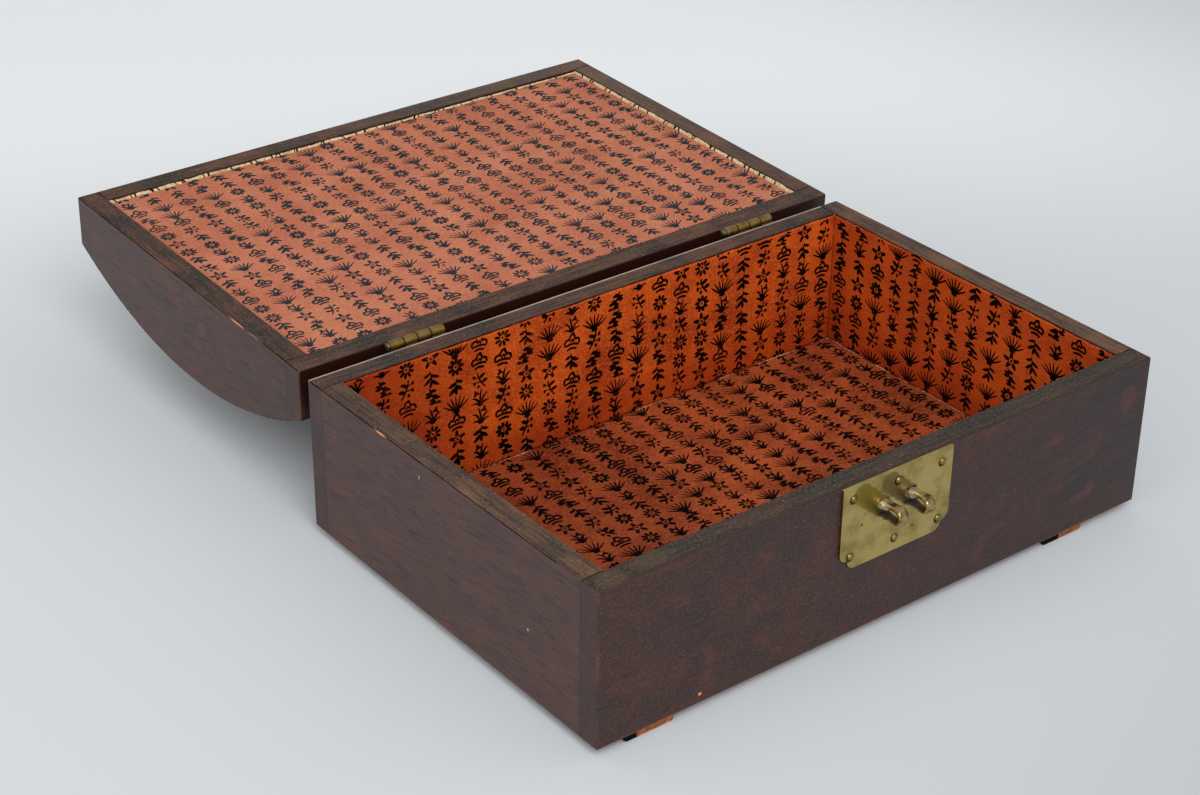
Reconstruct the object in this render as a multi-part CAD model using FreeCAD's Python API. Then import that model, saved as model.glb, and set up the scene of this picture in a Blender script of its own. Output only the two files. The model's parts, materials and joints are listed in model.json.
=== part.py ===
import FreeCAD, Part
import math
import os

# A wooden box for ink sticks and an ink stone, with a domed lid that stands open.
# Millimetres. +X is along the box, the lock plate faces -Y and +Z is up.
# Pieces are made as on the closed box: front face at y = 0, table at z = 0.
# The lid and hasp are then swung open, and all is moved to the origin at the end.

# Carcass
LENGTH = 300.0
WIDTH = 200.0
WALL = 10.5
BASE_HEIGHT = 72.0
BOTTOM_THICKNESS = 4.0
RABBET = 5.0
EDGE_RADIUS = 0.9
PEG_RADIUS = 1.1
PEG_LENGTH = 24.0
PEG_COVER = 1.5
BASE_PEG_HEIGHTS = (14.0, 36.0, 58.0)
BOTTOM_PEG_LENGTH = 14.0
BOTTOM_PEG_X = (-85.0, 0.0, 75.0)
BOTTOM_PEG_Y = (62.0, 138.0)
FOOT_HEIGHT = 4.0
FOOT_LENGTH = 24.0
FOOT_DEPTH = 20.0
FOOT_SETBACK = 2.0
FOOT_ROUNDING = 1.5
LEFT_FOOT_X = -123.0
RIGHT_FOOT_X = 107.0

# Lid
LID_GAP = 0.2
LID_SIDE_HEIGHT = 25.0
LID_RISE = 25.0
TOP_THICKNESS = 4.5
LINING_RECESS = 2.0
LINING_BOARD = 2.0
BATTEN = 6.0
LID_PEG_HEIGHTS = (6.0, 16.0)
OPEN_ANGLE = 178.0

# Paper linings
PAPER = 0.4
PAPER_BELOW_RIM = 1.0
PAPER_UPSTAND = 1.6

# Brass sheet and tacks
PLATE = 1.2
PLATE_WIDTH = 60.0
PLATE_HEIGHT = 38.5
PLATE_BELOW_RIM = 0.5
LOBE = 4.2
LID_PLATE_ABOVE_RIM = 1.8
LID_PLATE_HEIGHT = 22.0
TACK_SHANK_RADIUS = 0.5
TACK_LENGTH = 7.0
TACK_HEAD_RADIUS = 1.5
TACK_HEAD_HEIGHT = 0.9
TACK_INSET = 5.8

# The two lugs that take the padlock's bar
LUG_SPACING = 15.0
LUG_BELOW_RIM = 16.0
LUG_REACH = 13.5
LUG_HEIGHT = 8.0
LUG_STRIP = 1.8
LUG_WEDGE = 2.4
LUG_WEDGE_REACH = 5.9
LUG_WIDTH = 5.4
LUG_WAIST = 3.6
LUG_WAIST_AT = 0.45
LUG_SHOULDER = 1.0
LUG_LEG = 8.0

# Rear hinges
HINGE_X = {"left": -93.0, "right": 96.0}
HINGE_LENGTH = 28.0
KNUCKLES = 4
KNUCKLE_GAP = 0.1
HINGE_OFFSET = 3.5
HINGE_RISE = 0.5
KNUCKLE_ROOT = 2.4
BARREL_RADIUS = 2.2
HINGE_PIN_RADIUS = 0.95
RUNNING_CLEARANCE = 0.05
PIN_HEAD_RADIUS = 1.9
PIN_HEAD_LENGTH = 1.6
PIN_END = 0.6
LEAF = 1.0
LEAF_HEIGHT = 22.0
LEAF_LOBE = 2.6
NAIL_SHANK_RADIUS = 0.7
NAIL_LENGTH = 8.0
NAIL_HEAD_RADIUS = 2.7
NAIL_ACROSS = 8.5
NAIL_ROWS = (7.0, 16.0)
STOP_GAP = 0.05

# Hasp
HASP = 1.2
HASP_WIDTH = 36.0
HASP_LENGTH = 34.0
HASP_LOBE = 3.2
HASP_NECK = 0.6
HASP_KNUCKLE = 18.0
HASP_KNUCKLE_ROOT = 2.2
HASP_KNUCKLE_STRAP = 1.0
HASP_BARREL_RADIUS = 1.5
HASP_PIN_RADIUS = 0.75
HASP_PIN_END = 0.5
HASP_AXIS_ABOVE_RIM = 7.0
HASP_REST_GAP = 0.15
SLOT_WIDTH = 6.6
SLOT_TOP = 18.6
SLOT_BOTTOM = 29.2
SLOT_ROUNDING = 1.2

# How far a cutting or joining shape runs past the face that it meets
OVERRUN = 1.0

# Worked out from the above
HALF = LENGTH / 2
FLOOR_Z = FOOT_HEIGHT + BOTTOM_THICKNESS
RIM_Z = FOOT_HEIGHT + BASE_HEIGHT
LID_RIM_Z = RIM_Z + LID_GAP
LID_RADIUS = (WIDTH ** 2 / 4 + LID_RISE ** 2) / (2 * LID_RISE)
LID_CENTRE_Z = LID_RIM_Z + LID_SIDE_HEIGHT + LID_RISE - LID_RADIUS
HINGE_Y = WIDTH + HINGE_OFFSET
HINGE_Z = RIM_Z + HINGE_RISE
HASP_Y = -(PLATE + TACK_HEAD_HEIGHT + HASP_REST_GAP + HASP / 2)
HASP_Z = LID_RIM_Z + HASP_AXIS_ABOVE_RIM
LUG_Z = RIM_Z - LUG_BELOW_RIM
FOOT_X = {"left": LEFT_FOOT_X, "right": RIGHT_FOOT_X}
# The upper nails of the two leaves meet when the lid is open, and stop it there.
NAIL_HEAD_HEIGHT = (HINGE_OFFSET - LEAF - STOP_GAP
                    + NAIL_ROWS[0] * math.tan(math.radians(180 - OPEN_ANGLE) / 2))


def vector(x, y, z):
    return FreeCAD.Vector(x, y, z)


def block(x0, x1, y0, y1, z0, z1):
    """A box between two corners."""
    return Part.makeBox(x1 - x0, y1 - y0, z1 - z0, vector(x0, y0, z0))


def rod_x(x0, x1, y, z, radius):
    """A round bar along X."""
    return Part.makeCylinder(radius, x1 - x0, vector(x0, y, z), vector(1, 0, 0))


def outline(start, *steps):
    """A closed wire; a step is (end,) for a line or (middle, end) for an arc."""
    edges = []
    here = start
    for step in steps + ((start,),):
        end = step[-1]
        if end.distanceToPoint(here) > 1e-6:
            if len(step) == 1:
                edges.append(Part.LineSegment(here, end).toShape())
            else:
                edges.append(Part.Arc(here, step[0], end).toShape())
        here = end
    return Part.Wire(edges)


def sheet(wire, thickness_vector):
    """A solid made by moving a closed flat outline."""
    return Part.Face(wire).extrude(thickness_vector)


def joined(shapes):
    """One solid from shapes that touch or overlap."""
    return shapes[0].multiFuse(shapes[1:]).removeSplitter()


def peg(point, direction, length):
    """A round bamboo peg from point along direction."""
    return Part.makeCylinder(PEG_RADIUS, length, point, direction)


def rounded(shape, radius, chosen):
    """The shape with the edges that chosen(edge) picks rounded over."""
    return shape.makeFillet(radius, [edge for edge in shape.Edges if chosen(edge)])


def turned(profile, point, axis):
    """A solid turned from a flat outline about an axis."""
    return Part.Face(profile).revolve(point, axis, 360)


def domed_pin(point, outward, head_radius, head_height, shank_radius, length):
    """A turned pin: the dome stands on point towards outward, and the shank runs the other way."""
    side = vector(-outward.y, outward.x, 0)
    ball = (head_radius ** 2 + head_height ** 2) / (2 * head_height)
    half_angle = math.asin(head_radius / ball) / 2
    middle_out = head_height - ball + ball * math.cos(half_angle)

    def at(along, across):
        return point + outward * along + side * across

    profile = outline(
        at(head_height, 0),
        (at(-length, 0),), (at(-length, shank_radius),), (at(0, shank_radius),),
        (at(0, head_radius),), (at(middle_out, ball * math.sin(half_angle)), at(head_height, 0)))
    return turned(profile, point, outward)


def plate_tack(x, z):
    """A small tack through a plate on a front face."""
    return domed_pin(vector(x, -PLATE, z), vector(0, -1, 0), TACK_HEAD_RADIUS, TACK_HEAD_HEIGHT,
                     TACK_SHANK_RADIUS, PLATE + TACK_LENGTH)


def leaf_nail(x, z):
    """A large domed nail through a hinge leaf on a back face."""
    return domed_pin(vector(x, WIDTH + LEAF, z), vector(0, 1, 0), NAIL_HEAD_RADIUS,
                     NAIL_HEAD_HEIGHT, NAIL_SHANK_RADIUS, LEAF + NAIL_LENGTH)


def cusped_plate(x_centre, half_width, y0, y1, square_z, lobed_z, lobe):
    """Sheet brass with square corners at square_z and two round lobes at each corner of lobed_z."""
    away = 1 if lobed_z > square_z else -1
    diagonal = lobe * math.sqrt(0.5)

    def at(x, z):
        return vector(x_centre + x, y0, z)

    def corner(side):
        """Points from the long side in to the lobed end."""
        outer = (side * half_width, lobed_z - away * 2 * lobe)
        outer_middle = (side * (half_width - lobe + diagonal), outer[1] + away * diagonal)
        cusp = (side * (half_width - lobe), lobed_z - away * lobe)
        inner_middle = (side * (half_width - 2 * lobe + diagonal), cusp[1] + away * diagonal)
        inner = (side * (half_width - 2 * lobe), lobed_z)
        return [at(*point) for point in (outer, outer_middle, cusp, inner_middle, inner)]

    right = corner(1)
    left = corner(-1)
    wire = outline(
        at(-half_width, square_z),
        (at(half_width, square_z),),
        (right[0],), (right[1], right[2]), (right[3], right[4]),
        (left[4],), (left[3], left[2]), (left[1], left[0]))
    return sheet(wire, vector(0, y1 - y0, 0))


def strap(x0, x1, start, end, thickness):
    """A flat strip between two (y, z) points, running across from x0 to x1."""
    direction = vector(0, end[0] - start[0], end[1] - start[1])
    across = vector(0, -direction.z, direction.y).normalize() * (thickness / 2)
    first = vector(x0, start[0], start[1])
    last = vector(x0, end[0], end[1])
    wire = outline(first - across, (last - across,), (last + across,), (first + across,))
    return sheet(wire, vector(x1 - x0, 0, 0))


# --- the base -------------------------------------------------------------------------

def base_outer():
    """The carcass as one block with every outer edge eased."""
    solid = block(-HALF, HALF, 0, WIDTH, FOOT_HEIGHT, RIM_Z)
    return solid.makeFillet(EDGE_RADIUS, solid.Edges)


def base_boards():
    """Four walls and the bottom. The front runs through; the others butt as they were nailed."""
    inner = block(-HALF + WALL, HALF - WALL, WALL, WIDTH - WALL, FOOT_HEIGHT, RIM_Z)
    bed = block(-HALF + WALL - RABBET, HALF - WALL + RABBET, WALL - RABBET, WIDTH - WALL + RABBET,
                FOOT_HEIGHT, FLOOR_Z)
    walls = base_outer().cut(inner).cut(bed)
    low = FOOT_HEIGHT
    high = RIM_Z
    back = WIDTH - WALL
    regions = {
        "base_front_board": block(-HALF, HALF, 0, WALL, low, high),
        "base_back_board": block(-HALF, HALF - WALL, back, WIDTH, low, high),
        "base_left_board": block(-HALF, -HALF + WALL, WALL, back, low, high),
        "base_right_board": block(HALF - WALL, HALF, WALL, WIDTH, low, high),
    }
    boards = {name: walls.common(region) for name, region in regions.items()}
    boards["bottom_board"] = bed
    return boards


def base_pegs():
    """Hidden pegs at the corner joints, and pegs up through the bottom board into the walls."""
    mid = WALL / 2
    corner = []
    for height in BASE_PEG_HEIGHTS:
        z = FOOT_HEIGHT + height
        for x in (-HALF + mid, HALF - mid):
            corner.append(peg(vector(x, PEG_COVER, z), vector(0, 1, 0), PEG_LENGTH))
        corner.append(peg(vector(-HALF + mid, WIDTH - PEG_COVER, z), vector(0, -1, 0), PEG_LENGTH))
        corner.append(peg(vector(HALF - PEG_COVER, WIDTH - mid, z), vector(-1, 0, 0), PEG_LENGTH))
    bed = WALL - RABBET / 2
    places = [(x, y) for x in BOTTOM_PEG_X for y in (bed, WIDTH - bed)]
    places += [(x, y) for x in (-HALF + bed, HALF - bed) for y in BOTTOM_PEG_Y]
    bottom = [peg(vector(x, y, FOOT_HEIGHT), vector(0, 0, 1), BOTTOM_PEG_LENGTH) for x, y in places]
    return {"base_corner_pegs": corner, "bottom_pegs": bottom}


def feet():
    """Four low pads of bare wood under the bottom, set a little back from the faces."""
    made = {}
    for side, x in FOOT_X.items():
        for place, y in (("front", FOOT_SETBACK), ("back", WIDTH - FOOT_SETBACK - FOOT_DEPTH)):
            pad = block(x - FOOT_LENGTH / 2, x + FOOT_LENGTH / 2, y, y + FOOT_DEPTH, 0, FOOT_HEIGHT)
            made["foot_%s_%s" % (place, side)] = rounded(
                pad, FOOT_ROUNDING,
                lambda edge: edge.BoundBox.ZMax < FOOT_ROUNDING and edge.BoundBox.XLength < FOOT_ROUNDING)
    return made


def base_linings():
    """Paper on the four inner walls and on the floor."""
    x = HALF - WALL
    y0 = WALL
    y1 = WIDTH - WALL
    low = FLOOR_Z + PAPER
    high = RIM_Z - PAPER_BELOW_RIM
    return {
        "floor_lining": block(-x, x, y0, y1, FLOOR_Z, low),
        "base_front_lining": block(-x, x, y0, y0 + PAPER, low, high),
        "base_back_lining": block(-x, x, y1 - PAPER, y1, low, high),
        "base_left_lining": block(-x, -x + PAPER, y0 + PAPER, y1 - PAPER, low, high),
        "base_right_lining": block(x - PAPER, x, y0 + PAPER, y1 - PAPER, low, high),
    }


# --- the lid --------------------------------------------------------------------------

def lid_section(radius, front_y, back_y):
    """The lid's end shape at x = -HALF, under an arch of this radius."""

    def arch(y):
        return LID_CENTRE_Z + math.sqrt(radius ** 2 - (y - WIDTH / 2) ** 2)

    x = -HALF
    middle = (front_y + back_y) / 2
    return outline(
        vector(x, front_y, LID_RIM_Z),
        (vector(x, front_y, arch(front_y)),),
        (vector(x, middle, arch(middle)), vector(x, back_y, arch(back_y))),
        (vector(x, back_y, LID_RIM_Z),))


def lid_boards():
    """Front and back boards, two arched ends and the domed top between them."""
    whole = sheet(lid_section(LID_RADIUS, 0, WIDTH), vector(LENGTH, 0, 0))
    outer = whole.makeFillet(EDGE_RADIUS, whole.Edges)
    under_top = sheet(lid_section(LID_RADIUS - TOP_THICKNESS, 0, WIDTH), vector(LENGTH, 0, 0))
    low = LID_RIM_Z
    high = LID_RIM_Z + LID_SIDE_HEIGHT + LID_RISE
    back = WIDTH - WALL
    regions = {
        "lid_back_board": block(-HALF, HALF, back, WIDTH, low, high).common(under_top),
        "lid_front_board": block(-HALF + WALL, HALF, 0, WALL, low, high).common(under_top),
    }
    rails = joined(list(regions.values()))
    ends = {
        "lid_left_end": block(-HALF, -HALF + WALL, 0, WIDTH, low, high),
        "lid_right_end": block(HALF - WALL, HALF, 0, WIDTH, low, high),
    }
    for name, region in ends.items():
        regions[name] = region.cut(rails)
    regions["lid_top_panel"] = block(-HALF + WALL, HALF - WALL, 0, WIDTH, low, high).cut(under_top)
    return {name: outer.common(region) for name, region in regions.items()}


def lid_pegs():
    """Hidden pegs at the lid's four corner joints."""
    mid = WALL / 2
    pegs = []
    for height in LID_PEG_HEIGHTS:
        z = LID_RIM_Z + height
        for x in (-HALF + mid, HALF - mid):
            pegs.append(peg(vector(x, WIDTH - PEG_COVER, z), vector(0, -1, 0), PEG_LENGTH))
        pegs.append(peg(vector(HALF - mid, PEG_COVER, z), vector(0, 1, 0), PEG_LENGTH))
        pegs.append(peg(vector(-HALF + PEG_COVER, mid, z), vector(1, 0, 0), PEG_LENGTH))
    return {"lid_corner_pegs": pegs}


def lid_lining():
    """A thin board just inside the rim, its paper, and the two battens that it is glued to."""
    x = HALF - WALL
    y0 = WALL
    y1 = WIDTH - WALL
    face = LID_RIM_Z + LINING_RECESS
    board_low = face + PAPER
    board_high = board_low + LINING_BOARD
    tray = block(-x, x, y0, y1, face + PAPER - PAPER_UPSTAND, board_low)
    hollow = block(-x + PAPER, x - PAPER, y0 + PAPER, y1 - PAPER, LID_RIM_Z, face)
    return {
        "lid_lining_paper": tray.cut(hollow),
        "lid_lining_board": block(-x, x, y0, y1, board_low, board_high),
        "lid_front_batten": block(-x, x, y0, y0 + BATTEN, board_high, board_high + BATTEN),
        "lid_back_batten": block(-x, x, y1 - BATTEN, y1, board_high, board_high + BATTEN),
    }


# --- the lock -------------------------------------------------------------------------

def lug(x):
    """A heavy brass strip bent into an eye, thick at its upper root, its legs driven through the plate."""
    half = LUG_WIDTH / 2
    outer = LUG_HEIGHT / 2
    inner = outer - LUG_STRIP
    bend_y = -(LUG_REACH - outer)

    def loop(radius, y_end):
        return sheet(outline(
            vector(x - half, y_end, LUG_Z + radius),
            (vector(x - half, bend_y, LUG_Z + radius),),
            (vector(x - half, bend_y - radius, LUG_Z), vector(x - half, bend_y, LUG_Z - radius)),
            (vector(x - half, y_end, LUG_Z - radius),)), vector(LUG_WIDTH, 0, 0))

    under = LUG_Z + inner
    wedge = sheet(outline(
        vector(x - half, -PLATE, under),
        (vector(x - half, -PLATE, under - LUG_WEDGE),),
        (vector(x - half, -LUG_WEDGE_REACH, under),)), vector(LUG_WIDTH, 0, 0))
    strip = joined([loop(outer, LUG_LEG).cut(loop(inner, LUG_LEG)), wedge])
    waist_y = bend_y * LUG_WAIST_AT
    low = LUG_Z - LUG_HEIGHT
    for side in (-1, 1):
        edge_x = x + side * half
        bite = outline(
            vector(edge_x, -PLATE, low),
            (vector(x + side * LUG_WAIST / 2, waist_y, low),
             vector(edge_x, bend_y - LUG_SHOULDER, low)))
        strip = strip.cut(sheet(bite, vector(0, 0, 2 * LUG_HEIGHT)))
    return strip


def lock():
    """Lock plate on the front board, its tacks and the two lugs."""
    top = RIM_Z - PLATE_BELOW_RIM
    bottom = top - PLATE_HEIGHT
    across = PLATE_WIDTH / 2 - TACK_INSET
    rows = (top - TACK_INSET, bottom + TACK_INSET)
    made = {
        "left_lug": lug(-LUG_SPACING / 2),
        "right_lug": lug(LUG_SPACING / 2),
        "lock_plate_tacks": [plate_tack(x, z) for x in (-across, 0, across) for z in rows],
    }
    made["lock_plate"] = cusped_plate(0, PLATE_WIDTH / 2, -PLATE, 0, top, bottom, LOBE)
    return made


def lid_plate():
    """Plate on the lid's front, with the two outer knuckles of the hasp's hinge, and its tacks."""
    low = LID_RIM_Z + LID_PLATE_ABOVE_RIM
    high = low + LID_PLATE_HEIGHT
    across = PLATE_WIDTH / 2 - TACK_INSET
    plate = cusped_plate(0, PLATE_WIDTH / 2, -PLATE, 0, low, high, LOBE)
    parts = [plate]
    for x0, x1 in ((-HASP_WIDTH / 2, -HASP_KNUCKLE / 2), (HASP_KNUCKLE / 2, HASP_WIDTH / 2)):
        parts.append(rod_x(x0, x1, HASP_Y, HASP_Z, HASP_BARREL_RADIUS))
        parts.append(strap(x0, x1, (-PLATE / 2, HASP_Z + HASP_KNUCKLE_ROOT), (HASP_Y, HASP_Z),
                           HASP_KNUCKLE_STRAP))
    hole = rod_x(-HASP_WIDTH, HASP_WIDTH, HASP_Y, HASP_Z, HASP_PIN_RADIUS)
    places = [(-across, low + TACK_INSET), (across, low + TACK_INSET)]
    places += [(x, high - TACK_INSET) for x in (-across, 0, across)]
    pin_end = HASP_WIDTH / 2 + HASP_PIN_END
    return {
        "lid_plate": joined(parts).cut(hole),
        "lid_plate_tacks": [plate_tack(x, z) for x, z in places],
        "hasp_hinge_pin": rod_x(-pin_end, pin_end, HASP_Y, HASP_Z, HASP_PIN_RADIUS),
    }


def hasp():
    """The swinging flap, as it hangs over the lugs of the closed box."""
    y0 = HASP_Y - HASP / 2
    y1 = HASP_Y + HASP / 2
    neck = HASP_BARREL_RADIUS + HASP_NECK
    leaf = cusped_plate(0, HASP_WIDTH / 2, y0, y1, HASP_Z - neck, HASP_Z - HASP_LENGTH, HASP_LOBE)
    half_knuckle = HASP_KNUCKLE / 2 - KNUCKLE_GAP
    tongue = block(-half_knuckle, half_knuckle, y0, y1, HASP_Z - neck - OVERRUN, HASP_Z)
    barrel = rod_x(-half_knuckle, half_knuckle, HASP_Y, HASP_Z, HASP_BARREL_RADIUS)
    hole = rod_x(-HASP_WIDTH, HASP_WIDTH, HASP_Y, HASP_Z, HASP_PIN_RADIUS + RUNNING_CLEARANCE)
    flap = joined([leaf, tongue, barrel]).cut(hole)
    for x in (-LUG_SPACING / 2, LUG_SPACING / 2):
        slot = block(x - SLOT_WIDTH / 2, x + SLOT_WIDTH / 2, y0 - OVERRUN, y1 + OVERRUN,
                     HASP_Z - SLOT_BOTTOM, HASP_Z - SLOT_TOP)
        flap = flap.cut(rounded(slot, SLOT_ROUNDING, lambda edge: edge.BoundBox.YLength > HASP))
    return flap


# --- the rear hinges ------------------------------------------------------------------

def knuckle_spans(x, first):
    """The x ranges of every other knuckle, from number first."""
    length = HINGE_LENGTH / KNUCKLES
    start = x - HINGE_LENGTH / 2
    return [(start + i * length + KNUCKLE_GAP, start + (i + 1) * length - KNUCKLE_GAP)
            for i in range(first, KNUCKLES, 2)]


def hinge_leaf(x, first, away, hole_radius):
    """A leaf on the back face; away is -1 for the base's leaf and 1 for the lid's."""
    edge = RIM_Z - PLATE_BELOW_RIM if away < 0 else LID_RIM_Z + PLATE_BELOW_RIM
    parts = [cusped_plate(x, HINGE_LENGTH / 2, WIDTH, WIDTH + LEAF, edge,
                          edge + away * LEAF_HEIGHT, LEAF_LOBE)]
    for x0, x1 in knuckle_spans(x, first):
        parts.append(rod_x(x0, x1, HINGE_Y, HINGE_Z, BARREL_RADIUS))
        root = (WIDTH + LEAF / 2, edge + away * KNUCKLE_ROOT)
        parts.append(strap(x0, x1, root, (HINGE_Y, HINGE_Z), LEAF))
    hole = rod_x(x - HINGE_LENGTH, x + HINGE_LENGTH, HINGE_Y, HINGE_Z, hole_radius)
    return joined(parts).cut(hole)


def hinge_pin(x):
    """The pin, with a domed head at its left end."""
    point = vector(x - HINGE_LENGTH / 2, HINGE_Y, HINGE_Z)
    return domed_pin(point, vector(-1, 0, 0), PIN_HEAD_RADIUS, PIN_HEAD_LENGTH, HINGE_PIN_RADIUS,
                     HINGE_LENGTH + PIN_END)


def hinges():
    """Both hinges: leaves, pins and nails, by body."""
    base = {"hinge_base_nails": []}
    lid = {"hinge_lid_nails": []}
    for side, x in HINGE_X.items():
        base[side + "_hinge_base_leaf"] = hinge_leaf(x, 1, -1, HINGE_PIN_RADIUS)
        base[side + "_hinge_pin"] = hinge_pin(x)
        lid[side + "_hinge_lid_leaf"] = hinge_leaf(x, 0, 1, HINGE_PIN_RADIUS + RUNNING_CLEARANCE)
        for depth in NAIL_ROWS:
            for across in (-NAIL_ACROSS, NAIL_ACROSS):
                base["hinge_base_nails"].append(leaf_nail(x + across, HINGE_Z - depth))
                lid["hinge_lid_nails"].append(leaf_nail(x + across, HINGE_Z + depth))
    return base, lid


# --- fitting together -----------------------------------------------------------------

def bore_for(made, fastener_names, receiver_names):
    """Cuts the fasteners' own shapes out of the pieces that they pass through."""
    for receiver in receiver_names:
        for name in fastener_names:
            fasteners = made[name] if isinstance(made[name], list) else [made[name]]
            for fastener in fasteners:
                made[receiver] = made[receiver].cut(fastener)


def base_body():
    made = {**base_boards(), **base_pegs(), **feet(), **base_linings(), **lock()}
    made.update(hinges()[0])
    bore_for(made, ["lock_plate_tacks", "left_lug", "right_lug"], ["lock_plate", "base_front_board"])
    leaves = ["left_hinge_base_leaf", "right_hinge_base_leaf"]
    bore_for(made, ["hinge_base_nails"], leaves + ["base_back_board"])
    walls = ["base_%s_board" % side for side in ("front", "back", "left", "right")]
    bore_for(made, ["base_corner_pegs"], walls)
    bore_for(made, ["bottom_pegs"], walls + ["bottom_board"])
    return made


def lid_body():
    made = {**lid_boards(), **lid_pegs(), **lid_lining(), **lid_plate()}
    made.update(hinges()[1])
    bore_for(made, ["lid_plate_tacks"], ["lid_plate", "lid_front_board"])
    leaves = ["left_hinge_lid_leaf", "right_hinge_lid_leaf"]
    bore_for(made, ["hinge_lid_nails"], leaves + ["lid_back_board"])
    frame = ["lid_front_board", "lid_back_board", "lid_left_end", "lid_right_end"]
    bore_for(made, ["lid_corner_pegs"], frame)
    return made


def swung(shape, y, z, degrees):
    """The shape turned about an axis along X."""
    moved = shape.copy()
    moved.rotate(vector(0, y, z), vector(1, 0, 0), degrees)
    return moved


def as_solids(made):
    """Each node as one shape, with a group of fasteners as a compound."""
    return {name: Part.makeCompound(shape) if isinstance(shape, list) else shape
            for name, shape in made.items()}


def opened_box():
    """Every node with the lid open and the hasp folded back against the lid."""
    nodes = as_solids(base_body())
    lid = as_solids(lid_body())
    lid["hasp"] = swung(hasp(), HASP_Y, HASP_Z, -180)
    for name, shape in lid.items():
        nodes[name] = swung(shape, HINGE_Y, HINGE_Z, -OPEN_ANGLE)
    return nodes


def main():
    os.makedirs("parts", exist_ok=True)
    nodes = opened_box()
    box = Part.makeCompound(list(nodes.values())).optimalBoundingBox(False, False)
    shift = vector(0, -(box.YMin + box.YMax) / 2, 0)
    for name, shape in nodes.items():
        placed = shape.copy()
        placed.translate(shift)
        placed.exportStep("parts/%s.step" % name)
    hasp_axis = swung(Part.Vertex(0, HASP_Y, HASP_Z), HINGE_Y, HINGE_Z, -OPEN_ANGLE).Point
    print("front face y %.4f" % shift.y)
    print("hinge axis y %.4f z %.4f" % (HINGE_Y + shift.y, HINGE_Z))
    print("hasp axis y %.4f z %.4f" % (hasp_axis.y + shift.y, hasp_axis.z))
    print("size %.2f x %.2f x %.2f" % (box.XLength, box.YLength, box.ZLength))


main()
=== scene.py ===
import json
import math
import random
from collections import namedtuple

import bpy
from mathutils import Matrix, Vector, noise


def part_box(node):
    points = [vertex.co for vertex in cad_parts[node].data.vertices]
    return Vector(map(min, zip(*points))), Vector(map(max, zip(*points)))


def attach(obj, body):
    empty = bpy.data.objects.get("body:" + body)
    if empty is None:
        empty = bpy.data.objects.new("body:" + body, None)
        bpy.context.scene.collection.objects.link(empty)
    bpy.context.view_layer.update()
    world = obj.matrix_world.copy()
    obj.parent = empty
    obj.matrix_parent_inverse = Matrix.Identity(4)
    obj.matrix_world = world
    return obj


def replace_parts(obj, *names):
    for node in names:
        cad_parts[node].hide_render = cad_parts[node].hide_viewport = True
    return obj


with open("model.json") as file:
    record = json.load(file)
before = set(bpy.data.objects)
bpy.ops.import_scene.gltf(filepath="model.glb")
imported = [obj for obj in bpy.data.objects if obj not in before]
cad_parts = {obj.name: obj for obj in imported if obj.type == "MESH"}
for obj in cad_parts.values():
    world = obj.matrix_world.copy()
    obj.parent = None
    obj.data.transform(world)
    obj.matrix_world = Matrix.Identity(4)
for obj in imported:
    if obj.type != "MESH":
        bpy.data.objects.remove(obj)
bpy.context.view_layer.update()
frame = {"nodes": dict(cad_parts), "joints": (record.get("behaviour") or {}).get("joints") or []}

# A lacquered box for ink sticks and an ink stone, standing open.
# Metres, in the shared frame: +X along the box, the lock plate faces -Y, +Z up.

MM = 0.001

# --- places, read from the frame ---

JOINTS = {joint["name"]: joint for joint in frame["joints"]}
HINGE_AXIS = Vector(JOINTS["lid_hinge"]["pos_m"])
OPEN_ANGLE = math.radians(JOINTS["lid_hinge"]["range_deg"][1])
FROM_CLOSED = (Matrix.Translation(HINGE_AXIS) @ Matrix.Rotation(-OPEN_ANGLE, 4, "X")
               @ Matrix.Translation(-HINGE_AXIS))
TO_CLOSED = FROM_CLOSED.inverted()


def closed_foot(node):
    """The height of a lid node's lowest point on the closed box."""
    return min((TO_CLOSED @ vertex.co).z for vertex in frame["nodes"][node].data.vertices)


FRONT_LOW, FRONT_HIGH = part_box("base_front_board")
PLATE_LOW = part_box("lock_plate")[0]
LUG_LOW, LUG_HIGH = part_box("right_lug")
FLOOR_PAPER_LOW, FLOOR_PAPER_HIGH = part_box("floor_lining")
HALF = FRONT_HIGH.x
FRONT_Y = FRONT_LOW.y
BACK_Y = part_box("base_back_board")[1].y
WALL = FRONT_HIGH.y - FRONT_LOW.y
INNER_X = HALF - WALL
INNER_FRONT = FRONT_Y + WALL
INNER_BACK = BACK_Y - WALL
WALL_FOOT_Z = FRONT_LOW.z
RIM_Z = FRONT_HIGH.z
FLOOR_TOP = FLOOR_PAPER_HIGH.z
PAPER = FLOOR_TOP - FLOOR_PAPER_LOW.z
LID_RIM_Z = closed_foot("lid_back_board")
LID_BOARD_Z = closed_foot("lid_lining_board")
LUG_SPACING = LUG_HIGH.x + LUG_LOW.x
LUG_MIDDLE_Z = (LUG_HIGH.z + LUG_LOW.z) / 2
LUG_RADIUS = (LUG_HIGH.z - LUG_LOW.z) / 2
LUG_BEND_Y = LUG_LOW.y + LUG_RADIUS

# --- camera ---

AZIMUTH = math.radians(-37.896)
ELEVATION = math.radians(29.393)
ROLL = math.radians(0.495)
LENS_MM = 72.96
SENSOR_MM = 36.0
# The eye, from the middle of the front board's lower edge
EYE = Vector((0, FRONT_Y, WALL_FOOT_Z)) + Vector((-0.6012, -0.5798, 0.5674))


def add_object(name, data):
    made = bpy.data.objects.new(name, data)
    bpy.context.scene.collection.objects.link(made)
    return made


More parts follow.
